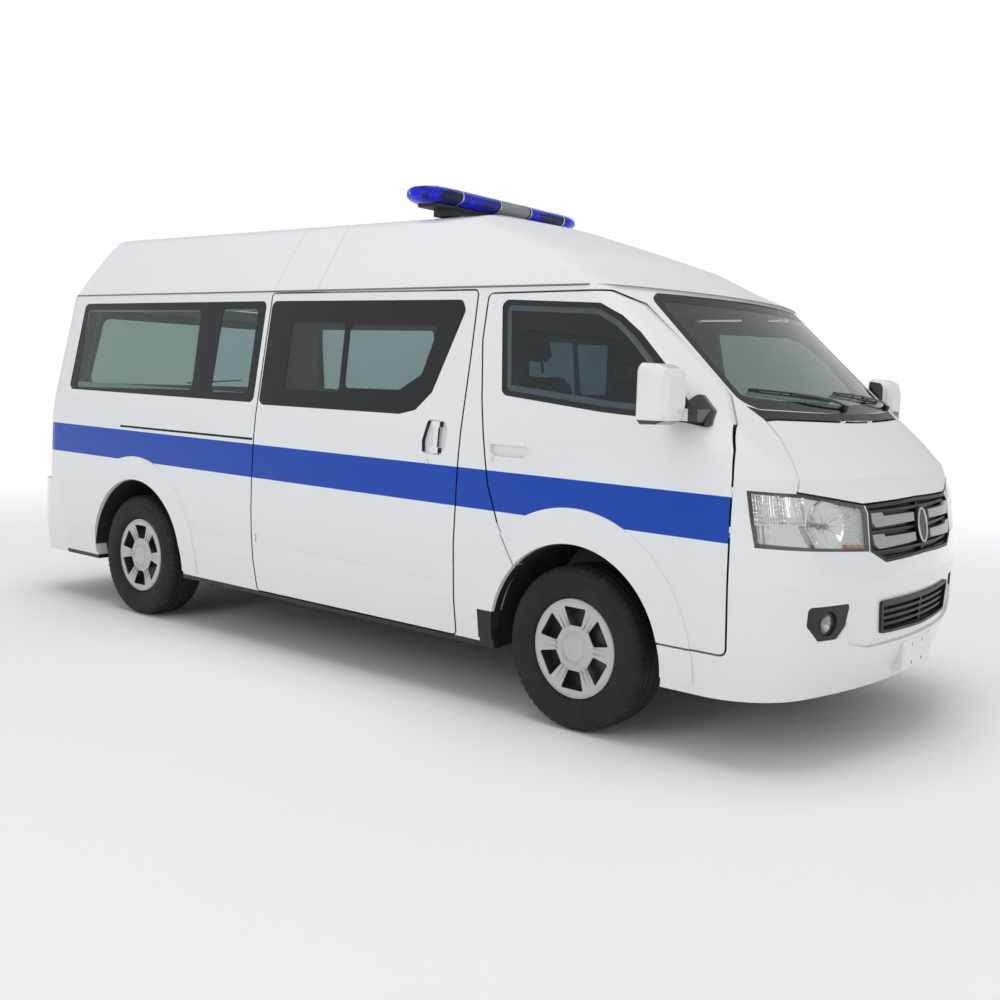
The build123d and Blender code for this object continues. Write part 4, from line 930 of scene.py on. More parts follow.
base_dark = finish("beacon_base", (0.045, 0.045, 0.05), 0.45, patch=10, grain=500, shade=0.25)


def bar_section(y, shrink=0.0, steps=48):
    """Section of the light bar at y: a low pointed oval that closes towards the ends."""
    share = abs(y) / bar_half
    beyond = (share - bar_end_share) / (1 - bar_end_share)
    close = 1.0 if share < bar_end_share else math.sqrt(max(0.0, 1 - beyond ** 2.4))
    wide = bar_wide * (0.10 + 0.90 * close) - shrink
    middle = bar_middle + 0.010 * (1 - close)
    high = (bar_top - bar_low) / 2 * (0.34 + 0.66 * close) - shrink
    line = []
    for step in range(steps):
        angle = 2 * math.pi * step / steps
        c, s = math.cos(angle), math.sin(angle)
        line.append(Vector((bar_x + wide * math.copysign(abs(c) ** 0.82, c), y,
                            middle + high * math.copysign(abs(s) ** 0.86, s))))
    return line


def along(start, end, count):
    """Evenly spaced values from start to end."""
    return [start + (end - start) * k / count for k in range(count + 1)]


def bar_slice(low_y, high_y, grow=0.0, hollow=False, count=14):
    """Closed slice of the light bar between two places; a hollow one is a shell."""
    work = bmesh.new()
    places = along(low_y, high_y, count)

    def skin(section_places, shrink, inside):
        """Rings of vertices at some places, with faces between them and over the ends."""
        rings = [[work.verts.new(point) for point in bar_section(y, shrink)] for y in section_places]
        made = []
        for first, second in zip(rings, rings[1:]):
            for k in range(len(first)):
                after = (k + 1) % len(first)
                corners = (first[k], first[after], second[after], second[k])
                made.append(work.faces.new(corners[:1] + corners[:0:-1] if inside else corners))
        made += [work.faces.new(rings[0]), work.faces.new(rings[-1])]
        bmesh.ops.recalc_face_normals(work, faces=made)
        return made

    skin(places, -grow, False)
    if hollow:
        inner = [min(max(place, low_y + bar_wall), high_y - bar_wall) for place in places]
        bmesh.ops.reverse_faces(work, faces=skin(inner, bar_wall - grow, True))
    return closed(work)


for name, span in lens_spans.items():
    lens = put(f"beacon_{name}", bar_slice(*span, hollow=True), lens_blue, "lamp_blue")
    if name == "right_end":
        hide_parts("light_bar")
reflectors = []
for side, name in sides:
    low_y, high_y = sorted((side * 0.15, side * 0.52))
    reflectors.append(block((bar_x - 0.075, low_y, bar_low + 0.012), (bar_x + 0.075, high_y, bar_low + 0.030)))
    rotor = tube([(bar_x, side * 0.20, bar_low + 0.03), (bar_x, side * 0.20, bar_low + 0.072)], 0.030, steps=20)
    reflectors.append(row_of(rotor, 3, (0, side * 0.13, 0)))
put("beacon_reflectors", joined(reflectors), ring_silver, "silver_plastic", smooth=False)
put("beacon_speaker", bar_slice(-0.108, 0.108, grow=-0.003), speaker_grey, "grille_plastic")
put("beacon_speaker_ribs", row_of(bar_slice(-0.1000, -0.0952, grow=-0.0008, count=1), 20, (0, 0.0105, 0)),
    speaker_grey, "grille_plastic", smooth=False)
rings = [bar_slice(y - 0.0035, y + 0.0035, grow=0.0012, count=1) for y in (-0.4015, -0.121, 0.121, 0.4015)]
put("beacon_rings", joined(rings), ring_silver, "silver_plastic", smooth=False)
gaps = [bar_slice(*span, grow=-0.006, count=1) for span in ((-0.118, -0.108), (0.108, 0.118))]
put("beacon_gaps", joined(gaps), base_dark, "grille_plastic", smooth=False)
feet = [block((bar_x - 0.060, side * 0.365 - 0.04, 2.222), (bar_x + 0.060, side * 0.365 + 0.04, bar_low + 0.02))
        for side, name in sides]
feet.append(block((bar_x - 0.085, -0.50, bar_low - 0.006), (bar_x + 0.085, 0.50, bar_low + 0.012), edge=0.008))
put("beacon_base", joined(feet), base_dark, "grille_plastic", smooth=False)
for side, name in sides:
    aim = Vector((0.45, side, 0.12)).normalized()
    centre = Vector((bar_x + 0.068, side * 0.520, bar_middle + 0.012))
    alley_blue = finish(f"{name}_alley_blue", (0.02, 0.30, 0.95), 0.12, patch=30, grain=400, shade=0.3)
    put(f"{name}_alley_lamp", dished(centre, aim, 0.026, -0.008), alley_blue, "lamp_blue")
    put(f"{name}_alley_ring", tube(circle_line(centre, aim, 0.028), 0.003, loop=True), ring_silver, "silver_plastic")

# ---- wheel arches ---------------------------------------------------------------------------------
# Black liners close the arches above the tyres. Outboard of the front ones, black sheets lie on the white painted lip
# as
# painted shade, in two parts: the door carries the first as far as its own edge, and the side carries the rest.
liner_and_lip_shade = finish("arch_liner", (0.016, 0.016, 0.017), 0.65, patch=6, grain=260, shade=0.3, dust=0.25, depth=0.0005)
liner_outer = 0.4292
liner_wall = 0.003
arch_steps = 72
arch_liners = (("front", front_axle_x, 0.548, 0.884), ("rear", rear_axle_x, 0.643, 0.935))
arch_turn = (2, 178)                # degrees from the front end over the top
lip_across = (0.894, 0.932)
door_lip_turn = (17, 133)
side_lip_turn = (135, 178)


def arch_band(side, axle_x, across, turn):
    """Part of a drum over one wheel, between two places across and two angles in degrees."""
    grid = []
    for angle in along(*turn, arch_steps):
        outward = Vector((math.cos(math.radians(angle)), 0, math.sin(math.radians(angle))))
        centre = Vector((axle_x, 0, axle_z))
        grid.append([(centre + outward * liner_outer + Vector((0, y, 0)), outward)
                     for y in sorted(side * place for place in across)])
    return grid_shell(grid, liner_wall)


for side, name in sides:
    for end, axle_x, *across in arch_liners:
        put(f"{name}_{end}_arch_liner", arch_band(side, axle_x, across, arch_turn), liner_and_lip_shade, "rubber")
    # painted shade: black sheets over the inner face of the white lip
    put(f"{name}_door_arch_lip_shade", arch_band(side, front_axle_x, lip_across, door_lip_turn), liner_and_lip_shade, "rubber",
        f"{name}_front_door")
    put(f"{name}_side_arch_lip_shade", arch_band(side, front_axle_x, lip_across, side_lip_turn), liner_and_lip_shade, "rubber")

# ---- mirrors --------------------------------------------------------------------------------------
# White heads on black three-cornered feet, with a silvered glass in a dark rim facing rearwards.
mirror_foot_y = 0.9705              # inboard of here, below the edge or ahead of the arm it is black
mirror_edge_z = 1.290
mirror_arm_x = 2.0875
mirror_back_x = 1.965
mirror_y = 1.057
mirror_pane_half = 0.074
mirror_pane_z = (1.292, 1.478)
mirror_rim_wide = 0.007
mirror_paint, tree, shader, layer = open_finish("mirror_paint", enamel, 0.24, patch=3, grain=900, shade=0.04,
                                                depth=0.00004, coat=0.8)
mirror_out = place_of(tree)
foot_part = calc(tree, "LESS_THAN", calc(tree, "ABSOLUTE", mirror_out[1]), mirror_foot_y)
low_edge = calc(tree, "LESS_THAN", mirror_out[2], mirror_edge_z)
arm_part = calc(tree, "GREATER_THAN", mirror_out[0], mirror_arm_x)
dark_part = calc(tree, "MAXIMUM", calc(tree, "MAXIMUM", foot_part, low_edge), arm_part)
feed(tree, layer, {"Color": mix_colour(tree, dark_part, (*enamel, 1), (0.015, 0.015, 0.017, 1))})
wear(mirror_paint, "right_mirror", "left_mirror")
silvered = finish("silvered_glass", (0.72, 0.74, 0.76), 0.03, patch=2, grain=50, shade=0.05, depth=0.000002,
                  metallic=1.0)


def oblong(low, high):
    """The four corners of an outline between two opposite ones."""
    return [tuple(low), (high[0], low[1]), tuple(high), (low[0], high[1])]


for side, name in sides:
    y = side * mirror_y
    pane = rounded(oblong((y - mirror_pane_half, mirror_pane_z[0]), (y + mirror_pane_half, mirror_pane_z[1])), 0.022)
    rim = prism([pane, shrunk(pane, mirror_rim_wide)], "front", mirror_back_x - 0.004, mirror_back_x + 0.002)
    silver = prism([shrunk(pane, 0.0065)], "front", mirror_back_x - 0.0015, mirror_back_x + 0.002)
    put(f"{name}_mirror_rim", rim, black_plastic, "grille_plastic", f"{name}_front_door", smooth=False)
    put(f"{name}_mirror_glass", silver, silvered, "white_plastic", f"{name}_front_door", smooth=False)

# ---- wipers and cowl ------------------------------------------------------------------------------
# Two wipers rest low on the screen, above a black grained strip that joins the screen to the bonnet.
screen_faces = faces_of("windscreen")
cowl_half = [(0.668, 1.302), (0.700, 1.352), (0.645, 1.338), (0.30, 1.330)]
cowl_outline = [(-0.668, 1.302)] + cowl_half + [(0, 1.327)] + [(-y, z) for y, z in reversed(cowl_half[1:])]
cut_piece("cowl_strip", "front_frame", [cowl_outline], "front", 1.8, 3.0, black_plastic, "grille_plastic",
          lift=0.0012)
wiper_black = finish("wiper_black", (0.012, 0.012, 0.013), 0.35, patch=10, grain=700, shade=0.3, depth=0.0001)
blade_parts = 12
claws_at = (1, 4, 8, 11)
wipers = [
    # name, foot y, blade's ends, place where the arm meets the blade
    ("right_wiper", -0.02, (-0.62, -0.10), -0.40),
    ("left_wiper", 0.66, (-0.02, 0.58), 0.28),
]


def on_screen(y, z, lift):
    """A place this far off the screen's outer face."""
    spot, normal = screen_faces.ray_cast(Vector((outside_x, y, z)), backwards)[:2]
    return spot + normal * lift


def thin_tube(line, radius):
    """A thin eight-sided round bar."""
    return tube(line, radius, steps=8)


for name, foot_y, blade_y, meet_y in wipers:
    foot = on_screen(foot_y, 1.352, 0.010)
    pieces = [tube([foot - Vector((0.010, 0, 0.030)), foot + Vector((0.004, 0, 0.008))], 0.016, steps=20)]
    arm = [foot]
    for share in (0.12, 0.3, 0.6, 1.0):
        y = foot_y + (meet_y - foot_y) * share
        arm.append(on_screen(y, 1.356 + 0.034 * share, 0.016 + 0.010 * math.sin(math.pi * share)))
    pieces.append(thin_tube(arm, 0.0055))
    blade = [(y, 1.378 + 0.030 * (1 - k / blade_parts), math.sin(math.pi * k / blade_parts))
             for k, y in enumerate(along(*blade_y, blade_parts))]
    spine = [on_screen(y, z, 0.013 + 0.005 * bow) for y, z, bow in blade]
    edge_line = [on_screen(y, z, 0.0035) for y, z, bow in blade]
    pieces += [thin_tube(spine, 0.0045), thin_tube(edge_line, 0.0032)]
    pieces += [thin_tube([spine[k], edge_line[k]], 0.004) for k in claws_at]
    put(name, joined(pieces), wiper_black, "grille_plastic")

# ---- panel lines and fittings ---------------------------------------------------------------------
# A grey strip seals the joint between the roof and the sides, its dark grey painted shade for the shadow line along
# the joint; a dark rail cover marks where the sliding door runs, and small round locks sit beside the handles.
gutter_faces = faces_of("right_side", "left_side", "roof", "sliding_door", "front_frame")
# the joint strip's dark grey is painted shade for the shadow line along the roof joint
joint_shade_grey = finish("gutter_strip", (0.20, 0.20, 0.205), 0.5, patch=6, grain=500, shade=0.2)
gutter_x = (-2.455, 1.52)
gutter_z = 1.813
rail_x = (-1.724, -0.524)
rail_z = 1.061
lock_radius = 0.011


def on_side(side, x, z, lift, faces=gutter_faces):
    """A place this far off the vehicle's side."""
    spot, normal = faces.ray_cast(Vector((x, side * 1.4, z)), Vector((0, -side, 0)))[:2]
    return spot + normal * lift


def side_bar(side, span, z, lift, radius):
    """A thin round bar along the vehicle's side."""
    return thin_tube([on_side(side, x, z, lift) for x in along(*span, 40)], radius)


def lock_barrel(side, spot):
    """A round lock, just proud of the skin."""
    return tube([spot - Vector((0, side * 0.002, 0)), spot + Vector((0, side * 0.0025, 0))], lock_radius, steps=24)


for side, name in sides:
    put(f"{name}_gutter_strip", side_bar(side, gutter_x, gutter_z, 0.0005, 0.0045), joint_shade_grey, "rubber")
put("slide_rail_cover", side_bar(-1, rail_x, rail_z, 0.006, 0.0055), black_plastic, "grille_plastic")
for side, name in sides:
    spot = on_side(side, 1.105, 1.078, 0.0, faces_of(f"{name}_door"))
    put(f"{name}_door_lock", lock_barrel(side, spot), ring_silver, "silver_plastic", f"{name}_front_door",
        smooth=False)
put("sliding_door_lock", lock_barrel(-1, on_side(-1, 0.720, 1.040, 0.0)), ring_silver, "silver_plastic", smooth=False)

# ---- tailgate fittings ----------------------------------------------------------------------------
# A white garnish with a black grip and two small lamps under it, a wiper on the rear pane, a high
# brake lamp over it, and a grained tread strip and two red reflectors on the bumper.
rear_faces = faces_of("tailgate", "tailgate_glass")
bumper_faces = faces_of("rear_bumper")
forwards = Vector((1, 0, 0))
brake_red = finish("brake_lamp_red", (0.30, 0.004, 0.008), 0.15, patch=12, grain=500, shade=0.3, coat=0.5)


def on_rear(y, z, lift, faces=rear_faces):
    """A place this far off the vehicle's rear."""
    spot, normal = faces.ray_cast(Vector((-3.4, y, z)), forwards)[:2]
    return spot + normal * lift


def rear_bar(low_y, high_y, z, lift, radius, faces=rear_faces, count=16, steps=12):
    """A round bar across the vehicle's rear."""
    return tube([on_rear(y, z, lift, faces) for y in along(low_y, high_y, count)], radius, steps=steps)


garnish = [rear_bar(-0.36, 0.36, 1.092, 0.003, 0.017), rear_bar(-0.34, 0.34, 1.068, 0.002, 0.012)]
put("tailgate_garnish", joined(garnish), mirror_paint, "white_paint", "rear_door")
put("tailgate_grip", rear_bar(-0.10, 0.10, 1.046, 0.004, 0.010), black_plastic, "grille_plastic", "rear_door")
put("plate_lamps", joined([rear_bar(y - 0.022, y + 0.022, 1.048, 0.002, 0.008, count=2) for y in (-0.20, 0.20)]),
    lens_clear, "lamp_clear", "rear_door")
put("high_brake_lamp", rear_bar(-0.14, 0.14, 1.776, 0.0, 0.008), brake_red, "lamp_red", "rear_door")
blade, spine = ([on_rear(0.04 + 0.42 * k / 10, 1.300 + 0.028 * k / 10, lift) for k in range(11)]
                for lift in (0.004, 0.013))
arm = [on_rear(-0.02, 1.268, 0.012), on_rear(0.10, 1.285, 0.020), on_rear(0.25, 1.312, 0.015)]
hub = [on_rear(-0.02, 1.268, -0.004), on_rear(-0.02, 1.268, 0.018)]
put("rear_wiper", joined([thin_tube(blade, 0.003), thin_tube(spine, 0.0045), thin_tube(arm, 0.006),
                          tube(hub, 0.019, steps=20)] + [thin_tube([blade[k], spine[k]], 0.004) for k in (1, 5, 9)]),
    wiper_black, "grille_plastic", "rear_door")
tread = [rear_bar(-0.60, 0.60, 0.672 - 0.013 * k, 0.0005, 0.0035, bumper_faces, steps=8) for k in range(3)]
put("rear_step_tread", joined(tread), black_plastic, "rubber")
rear_reflectors = [rear_bar(side * 0.70 - 0.05, side * 0.70 + 0.05, 0.500, 0.0, 0.010, bumper_faces, count=4)
                   for side, name in sides]
put("rear_reflectors", joined(rear_reflectors), brake_red, "lamp_red")

# ---- cab interior ---------------------------------------------------------------------------------
# Dark grained dashboard with a hooded cluster, a centre stack, vents and a short gear lever, and a
# thick-rimmed steering wheel with a padded hub and three spokes.
dash_plastic = finish("dash_plastic", (0.050, 0.052, 0.056), 0.55, patch=5, grain=520, shade=0.25, depth=0.0004)
dash_grey = finish("dash_grey", (0.17, 0.17, 0.175), 0.5, patch=5, grain=520, shade=0.2, depth=0.0003)
screen_black = finish("screen_black", (0.006, 0.007, 0.009), 0.12, patch=6, grain=1200, shade=0.2, depth=0.00002)
leather = finish("wheel_leather", (0.022, 0.022, 0.024), 0.45, patch=12, grain=700, shade=0.3, depth=0.0003)
wear(dash_plastic, "dashboard")
driver_y = 0.400
dial_x, dial_z = 2.070, 1.212
column_lean = math.radians(35)
wheel_axis = Vector((-math.sin(column_lean), 0, math.cos(column_lean)))
wheel_centre = Vector((1.850, driver_y, 1.130))
wheel_up = Vector((math.cos(column_lean), 0, math.sin(column_lean)))
rim_radius = 0.185
dash_faces = faces_of("dashboard")
stack_x = dash_faces.ray_cast(Vector((1.0, 0.0, 1.0)), forwards)[0].x       # face of the centre stack


def cab_piece(name, meshes, material, **where):
    """A piece of the cab's plastic fittings, joined from its parts."""
    return put(name, joined(meshes), material, "interior_plastic", **where)


cab_piece("cluster_hood", [block((2.070, driver_y - 0.19, 1.180), (2.210, driver_y + 0.19, 1.246), edge=0.026)],
          dash_plastic)
dials = [tube([(x, driver_y + offset, dial_z) for x in (dial_x, dial_x - 0.0025)], radius, steps=32)
         for offset, radius in ((-0.09, 0.026), (0.09, 0.026), (0.0, 0.018))]
cab_piece("cluster_dials", dials, screen_black, smooth=False)
cab_piece("centre_stack", [block((stack_x - 0.016, -0.150, 0.800), (stack_x + 0.02, 0.150, 1.150), edge=0.008)],
          dash_grey)
controls = [block((stack_x - 0.0185, -0.090, 0.985), (stack_x, 0.090, 1.085), edge=0.002)]
controls += [tube([(stack_x - 0.030, y, 0.915), (stack_x, y, 0.915)], 0.019, steps=24) for y in (-0.075, 0.0, 0.075)]
cab_piece("stack_controls", controls, screen_black, smooth=False)
vents = []
for y in (-0.76, -0.105, 0.105, 0.76):
    front_x = dash_faces.ray_cast(Vector((1.0, y, 1.120)), forwards)[0].x - (0.016 if abs(y) < 0.2 else 0.0)
    slat = block((front_x - 0.006, y - 0.038, 1.101), (front_x + 0.003, y + 0.038, 1.106), edge=0.001)
    vents.append(row_of(slat, 4, (0, 0, 0.011)))
cab_piece("dash_vents", vents, screen_black, smooth=False)
lever_parts = [
    # line as distance out of the stack's face and height, radius, sides
    ([(0.004, 0.845), (0.05, 0.880)], 0.032, 20),
    ([(0.03, 0.866), (0.115, 0.950)], 0.007, 10),
    ([(0.105, 0.940), (0.118, 0.953), (0.136, 0.971)], 0.019, 20),
]
cab_piece("gear_lever", [tube([(stack_x - out, 0.0, z) for out, z in line], radius, steps=steps)
                         for line, radius, steps in lever_parts], dash_plastic)
steering = [tube(circle_line(wheel_centre, wheel_axis, rim_radius, steps=96), 0.0140, steps=16, loop=True)]
for angle in (0, 180, 270):
    aim = math.cos(math.radians(angle)) * Vector((0, 1, 0)) + math.sin(math.radians(angle)) * wheel_up
    spoke = [wheel_centre + aim * 0.045 - wheel_axis * 0.008, wheel_centre + aim * 0.11 - wheel_axis * 0.003,
             wheel_centre + aim * (rim_radius - 0.004)]
    steering.append(tube(spoke, 0.0115, steps=12))
steering_rim = cab_piece("steering_rim", steering, leather, body="driver_steering_wheel")
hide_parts("steering_wheel")
hub = [tube([wheel_centre - wheel_axis * 0.060, wheel_centre - wheel_axis * 0.020], 0.034, steps=32),
       dished(wheel_centre - wheel_axis * 0.008, wheel_axis, 0.068, -0.016, wall=0.006)]
cab_piece("steering_hub", hub, dash_plastic, body="driver_steering_wheel")
mirror_spot = on_screen(0.0, 1.735, -0.006)
cab_piece("rear_view_mirror", [block(mirror_spot + Vector((-0.075, -0.115, -0.045)),
                                     mirror_spot + Vector((-0.055, 0.115, 0.022)), edge=0.008),
                               tube([mirror_spot, mirror_spot + Vector((-0.058, 0, -0.006))], 0.007)], black_plastic)

# ---- bulkhead and bench cupboard ------------------------------------------------------------------
# A painted steel bulkhead with a rubber-framed window parts the cab from the back, where a cupboard
# with three doors carries the long bench.
panel_grey = finish("bulkhead_grey", (0.40, 0.41, 0.41), 0.45, patch=3, grain=600, shade=0.12, depth=0.0001)
laminate = finish("cupboard_laminate", (0.62, 0.63, 0.61), 0.38, patch=4, grain=500, shade=0.08, depth=0.00006)
wear(panel_grey, "bulkhead")
bench_low_x, bench_high_x = -1.088, 0.648
door_wide = (bench_high_x - bench_low_x - 0.04) / 3
door_x = bench_low_x + 0.014
door_step = (door_wide + 0.006, 0, 0)
pull_x = door_x + door_wide / 2
window_edge, window_hole = (rounded(oblong((-y, low_z), (y, high_z)), window_corner)
                            for y, low_z, high_z in ((0.362, 1.238, 1.662), (0.336, 1.264, 1.636)))
put("bulkhead_window_rubber", prism([window_edge, window_hole], "front", 0.744, 0.776), seal_rubber, "rubber",
    smooth=False)
put("bulkhead_window", prism([shrunk(window_edge, 0.014)], "front", 0.7575, 0.7625), door_tint, "tinted_glass",
    smooth=False)
cupboard_door = block((door_x, 0.476, 0.545), (door_x + door_wide, 0.494, 0.826))
cupboard = [block((bench_low_x, 0.492, 0.522), (bench_high_x, 0.818, 0.836), edge=0.004),
            row_of(cupboard_door, 3, door_step)]
carcass = put("bench_cupboard", joined(cupboard), laminate, "interior_panel", smooth=False)
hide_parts("bench_seat")
cupboard_pull = block((pull_x - 0.05, 0.470, 0.790), (pull_x + 0.05, 0.480, 0.800), edge=0.002)
put("cupboard_pulls", row_of(cupboard_pull, 3, door_step), ring_silver, "silver_plastic", smooth=False)

# ---- seats and bench cushions ---------------------------------------------------------------------
# Foam seats under woven grey cloth, and a long bench pad under dark vinyl. Each pad is blown up by a cloth simulation
# from a smaller block; the cushions and backs are then given their sewn channels and a welt round their edge.
pad_pressure = 4.0
blow_frames = 20


def swollen(start, cap, seams=(), fold=0.005, spread=0.012, voxel=0.0058):
    """A pad blown up from a closed form, no point moving by more than cap, with channels pressed in.

    Each seam is (point, direction): a plane whose line on the pad is drawn in by fold.
    """
    holder = held(start)
    remesh = holder.modifiers.new("voxels", "REMESH")
    remesh.mode = "VOXEL"
    remesh.voxel_size = voxel
    mesh = worked(holder)
    flat = [vertex.co.copy() for vertex in mesh.vertices]
    bag = held(mesh)
    cloth = bag.modifiers.new("fill", "CLOTH")
    cloth.settings.use_pressure = True
    cloth.settings.uniform_pressure_force = pad_pressure
    cloth.settings.effector_weights.gravity = 0
    cloth.settings.mass = 0.3
    cloth.settings.quality = 5
    cloth.collision_settings.use_collision = False
    for moment in range(1, blow_frames + 1):
        bpy.context.scene.frame_set(moment)
    mesh = bpy.data.meshes.new_from_object(bag.evaluated_get(bpy.context.evaluated_depsgraph_get()))
    bpy.data.objects.remove(bag)
    for vertex, place in zip(mesh.vertices, flat):
        move = vertex.co - place
        if move.length > cap:
            vertex.co = place + move.normalized() * cap
    bpy.context.scene.frame_set(1)
    work = opened(mesh)
    for _ in range(2):
        bmesh.ops.smooth_vert(work, verts=work.verts, factor=0.5, use_axis_x=True, use_axis_y=True, use_axis_z=True)
    work.normal_update()
    moves = []
    for vertex in work.verts:
        pull = 0.0
        for point, direction in seams:
            reach = abs((vertex.co - Vector(point)).dot(Vector(direction)))
            if reach < spread:
                pull = max(pull, fold * (1 - (reach / spread) ** 2) ** 0.7)
        moves.append(vertex.normal * pull)
    for vertex, move in zip(work.verts, moves):
        vertex.co -= move
    bmesh.ops.recalc_face_normals(work, faces=work.faces)
    return closed(work, mesh)


def welt(mesh, points):
    """Piping sewn along a closed line on a pad; each point is drawn to the pad's nearest surface."""
    work = opened(mesh)
    found = BVHTree.FromBMesh(work)
    work.free()
    return tube([found.find_nearest(Vector(point))[0] for point in points], 0.0028, steps=8, loop=True)


def loop_round(low, high, axis, level, radius=0.03):
    """Points round a block's waist: a rounded rectangle across an axis at a level."""
    u, v = [k for k in range(3) if k != axis]
    line = rounded(oblong((low[u], low[v]), (high[u], high[v])), radius, steps=6)
    points = []
    for (a, b), (c, d) in zip(line, line[1:] + line[:1]):
        parts = max(1, int(math.hypot(c - a, d - b) / 0.02))
        for k in range(parts):
            place = [level] * 3
            place[u], place[v] = a + (c - a) * k / parts, b + (d - b) * k / parts
            points.append(place)
    return points


def woven(name, colour, thread, depth):
    """Cloth of crossed threads over the surface film."""
    made, tree, shader, layer = open_finish(name, colour, 0.85, patch=5, grain=700, shade=0.25, depth=depth)
    x, y, z = place_of(tree)
    threads = [calc(tree, "SINE", calc(tree, "MULTIPLY", run, thread))
               for run in (calc(tree, "ADD", x, z), calc(tree, "SUBTRACT", y, z))]
    bump = node(tree, "ShaderNodeBump", {"Strength": 0.5, "Distance": depth, "Height": times(tree, *threads)})
    feed(tree, shader, {"Normal": bump.outputs[0], "Sheen Weight": 0.15})
    return made


seat_cloth = woven("seat_cloth", (0.115, 0.12, 0.13), 2200, 0.0004)
seat_piping = finish("seat_piping", (0.03, 0.03, 0.034), 0.6, patch=20, grain=900, shade=0.2)
bench_vinyl = finish("bench_vinyl", (0.028, 0.045, 0.085), 0.42, patch=4, grain=420, shade=0.25, depth=0.0005)
pad_y = 0.214
flank_y = 0.125                     # the side bolsters are sewn on here
back_place = Matrix.Translation((1.010, 0, 0.955)) @ Matrix.Rotation(-math.radians(14), 4, "Y")
rest_place = Matrix.Translation((0.870, 0, 1.508)) @ Matrix.Rotation(-math.radians(15), 4, "Y")
flanks = [((0, -flank_y, 0), (0, 1, 0)), ((0, flank_y, 0), (0, 1, 0))]

low, high = (1.020, -pad_y, 0.858), (1.498, pad_y, 0.942)
cushion_mesh = swollen(block(low, high, edge=0.028), 0.014, flanks + [((1.36, 0, 0), (1, 0, 0))])
cushion_welt = welt(cushion_mesh, loop_round(low, high, 2, 0.932))
low, high = (-0.038, -pad_y, 0.012), (0.036, pad_y, 0.505)
back_mesh = swollen(block(low, high, edge=0.026), 0.016, flanks + [((0, 0, z), (0, 0, 1)) for z in (0.20, 0.36)])
back_welt = welt(back_mesh, loop_round(low, high, 0, 0.024))
rest_mesh = swollen(block((-0.026, -0.118, 0.0), (0.026, 0.118, 0.145), edge=0.02), 0.010)
for mesh, place in ((back_mesh, back_place), (back_welt, back_place), (rest_mesh, rest_place)):
    mesh.transform(place)

seat_parts = [
    # name, mesh, finish, share of the CAD seat's fill
    ("seat_cushion", cushion_mesh, seat_cloth, 0.8),
    ("seat_back", back_mesh, seat_cloth, 0.8),
    ("headrest", rest_mesh, seat_cloth, 0.85),
    ("cushion_welt", cushion_welt, seat_piping, 0),
    ("back_welt", back_welt, seat_piping, 0),
]
for side, name in sides:
    aside = Matrix.Translation((0, side * driver_y, 0))
    stand = joined([block((0.990, -0.20, 0.8215), (1.500, 0.20, 0.848), edge=0.008)]
                   + [tube([(0.868, y, 1.455), (0.850, y, 1.545)], 0.0065) for y in (-0.055, 0.055)])
    stand.transform(aside)
    seat_frame = put(f"{name}_seat_frame", stand, black_plastic, "seat_fabric")
    if side < 0:
        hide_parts("front_seats")
    for part, source, cover, fill in seat_parts:
        mesh = source.copy()
        mesh.transform(aside)
        piece = put(f"{name}_{part}", mesh, cover, "seat_fabric")

bench_pads = [
    # name, low corner, high corner, thickness axis, welt level
    ("bench_cushion", (bench_low_x + 0.012, 0.486, 0.848), (bench_high_x - 0.012, 0.722, 0.890), 2, 0.884),
    ("bench_back", (bench_low_x + 0.012, 0.762, 0.925), (bench_high_x - 0.012, 0.806, 1.285), 1, 0.768),
]
channels = [((x, 0, 0), (1, 0, 0)) for x in along(bench_low_x, bench_high_x, 3)[1:3]]
for name, low, high, axis, level in bench_pads:
    pad_mesh = swollen(block(low, high, edge=0.016), 0.011, channels, fold=0.006, voxel=0.008)
    pad_welt = welt(pad_mesh, loop_round(low, high, axis, level, radius=0.02))
    pad = put(name, pad_mesh, bench_vinyl, "seat_vinyl")
    put(f"{name}_welt", pad_welt, seat_piping, "seat_vinyl")

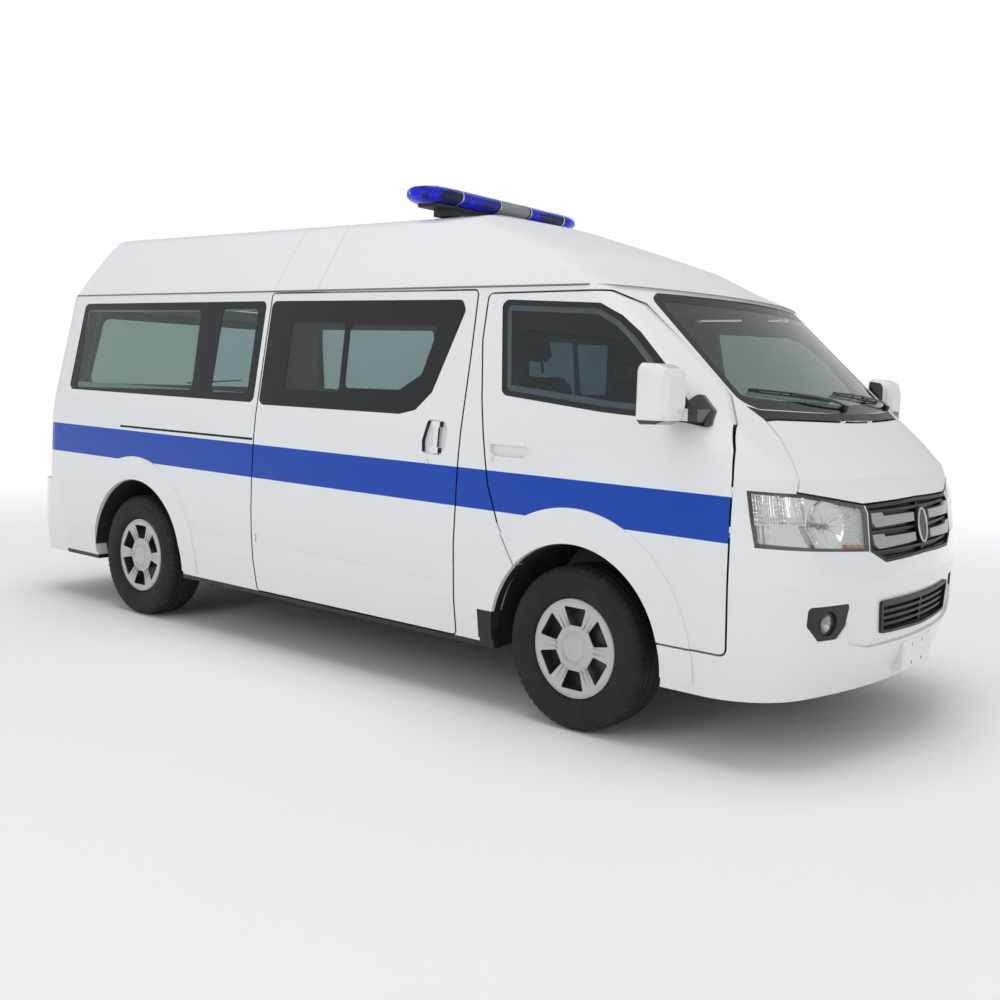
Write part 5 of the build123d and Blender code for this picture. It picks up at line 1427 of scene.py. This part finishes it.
# ---- underbody ------------------------------------------------------------------------------------
# A propeller shaft, an exhaust with its silencer, a steel fuel tank, and leaf springs and dampers on
# the rear axle, all hung under the rails.
steel_pipe = finish("exhaust_steel", (0.16, 0.14, 0.12), 0.5, patch=10, grain=300, shade=0.5, dust=0.3, metallic=0.8)
underbody_bars = {
    # name of the piece: its finish, then each bar's line, radius and sides
    "propeller_shaft": (forging, [
        ([(0.985, 0, 0.345), (-1.400, 0, 0.318)], 0.036, 20),
        ([(0.98, 0, 0.345), (0.93, 0, 0.345)], 0.046, 16),
        ([(-0.28, 0, 0.331), (-0.33, 0, 0.331)], 0.046, 16),
        ([(-1.36, 0, 0.3185), (-1.41, 0, 0.3185)], 0.046, 16)]),
    "exhaust": (steel_pipe, [
        ([(1.20, -0.30, 0.285), (0.95, -0.25, 0.270), (0.55, -0.22, 0.262), (-0.35, -0.22, 0.262)], 0.026, 16),
        ([(x, -0.22, 0.262) for x in (-0.35, -0.36, -0.94, -0.95)], 0.072, 28),
        ([(-0.95, -0.22, 0.262), (-1.02, -0.24, 0.256), (-1.08, -0.34, 0.246), (-1.08, -0.62, 0.240),
          (-1.08, -0.80, 0.236)], 0.024, 16)]),
}
for name, (bar_finish, bars) in underbody_bars.items():
    put(name, joined([tube(line, radius, steps=steps) for line, radius, steps in bars]), bar_finish, "chassis_black")
strap = block((-0.55, 0.094, 0.209), (-0.52, 0.406, 0.300), edge=0.004)
tank = [block((-0.72, 0.10, 0.215), (0.12, 0.40, 0.296), edge=0.03), row_of(strap, 2, (0.47, 0, 0))]
put("fuel_tank", joined(tank), wax, "chassis_black")

leaf_steps = 12
leaf_wide = 0.060
leaf_thick = 0.009
leaf_pitch = 0.010
leaf_sag = 0.060
spring_half = 0.56                  # from the axle to each eye
spring_y = 0.560
eye_z = 0.292
leaf_drop = 0.15                    # each leaf's half length is this much less than that of the one above
springs = []
for side, name in sides:
    for k in range(3):
        reach = spring_half - leaf_drop * k
        leaf = []
        for x in along(rear_axle_x - reach, rear_axle_x + reach, leaf_steps):
            z = eye_z - leaf_sag * (1 - ((x - rear_axle_x) / spring_half) ** 2) - leaf_pitch * k
            leaf.append([(Vector((x, y, z)), Vector((0, 0, 1)))
                         for y in (side * spring_y - leaf_wide / 2, side * spring_y + leaf_wide / 2)])
        springs.append(grid_shell(leaf, leaf_thick))
    ends_x = [rear_axle_x + end * spring_half for end in (-1, 1)]
    springs += [tube([(x, side * spring_y - 0.034, eye_z), (x, side * spring_y + 0.034, eye_z)], 0.017, steps=16)
                for x in ends_x]
    springs += [tube([(x, side * 0.540, eye_z), (x, side * 0.455, 0.340)], 0.014) for x in ends_x]
    springs.append(tube([(rear_axle_x + 0.10, side * 0.36, 0.285), (rear_axle_x + 0.36, side * 0.36, 0.415)], 0.021,
                        steps=16))
put("rear_springs", joined(springs), wax, "chassis_black", smooth=False)
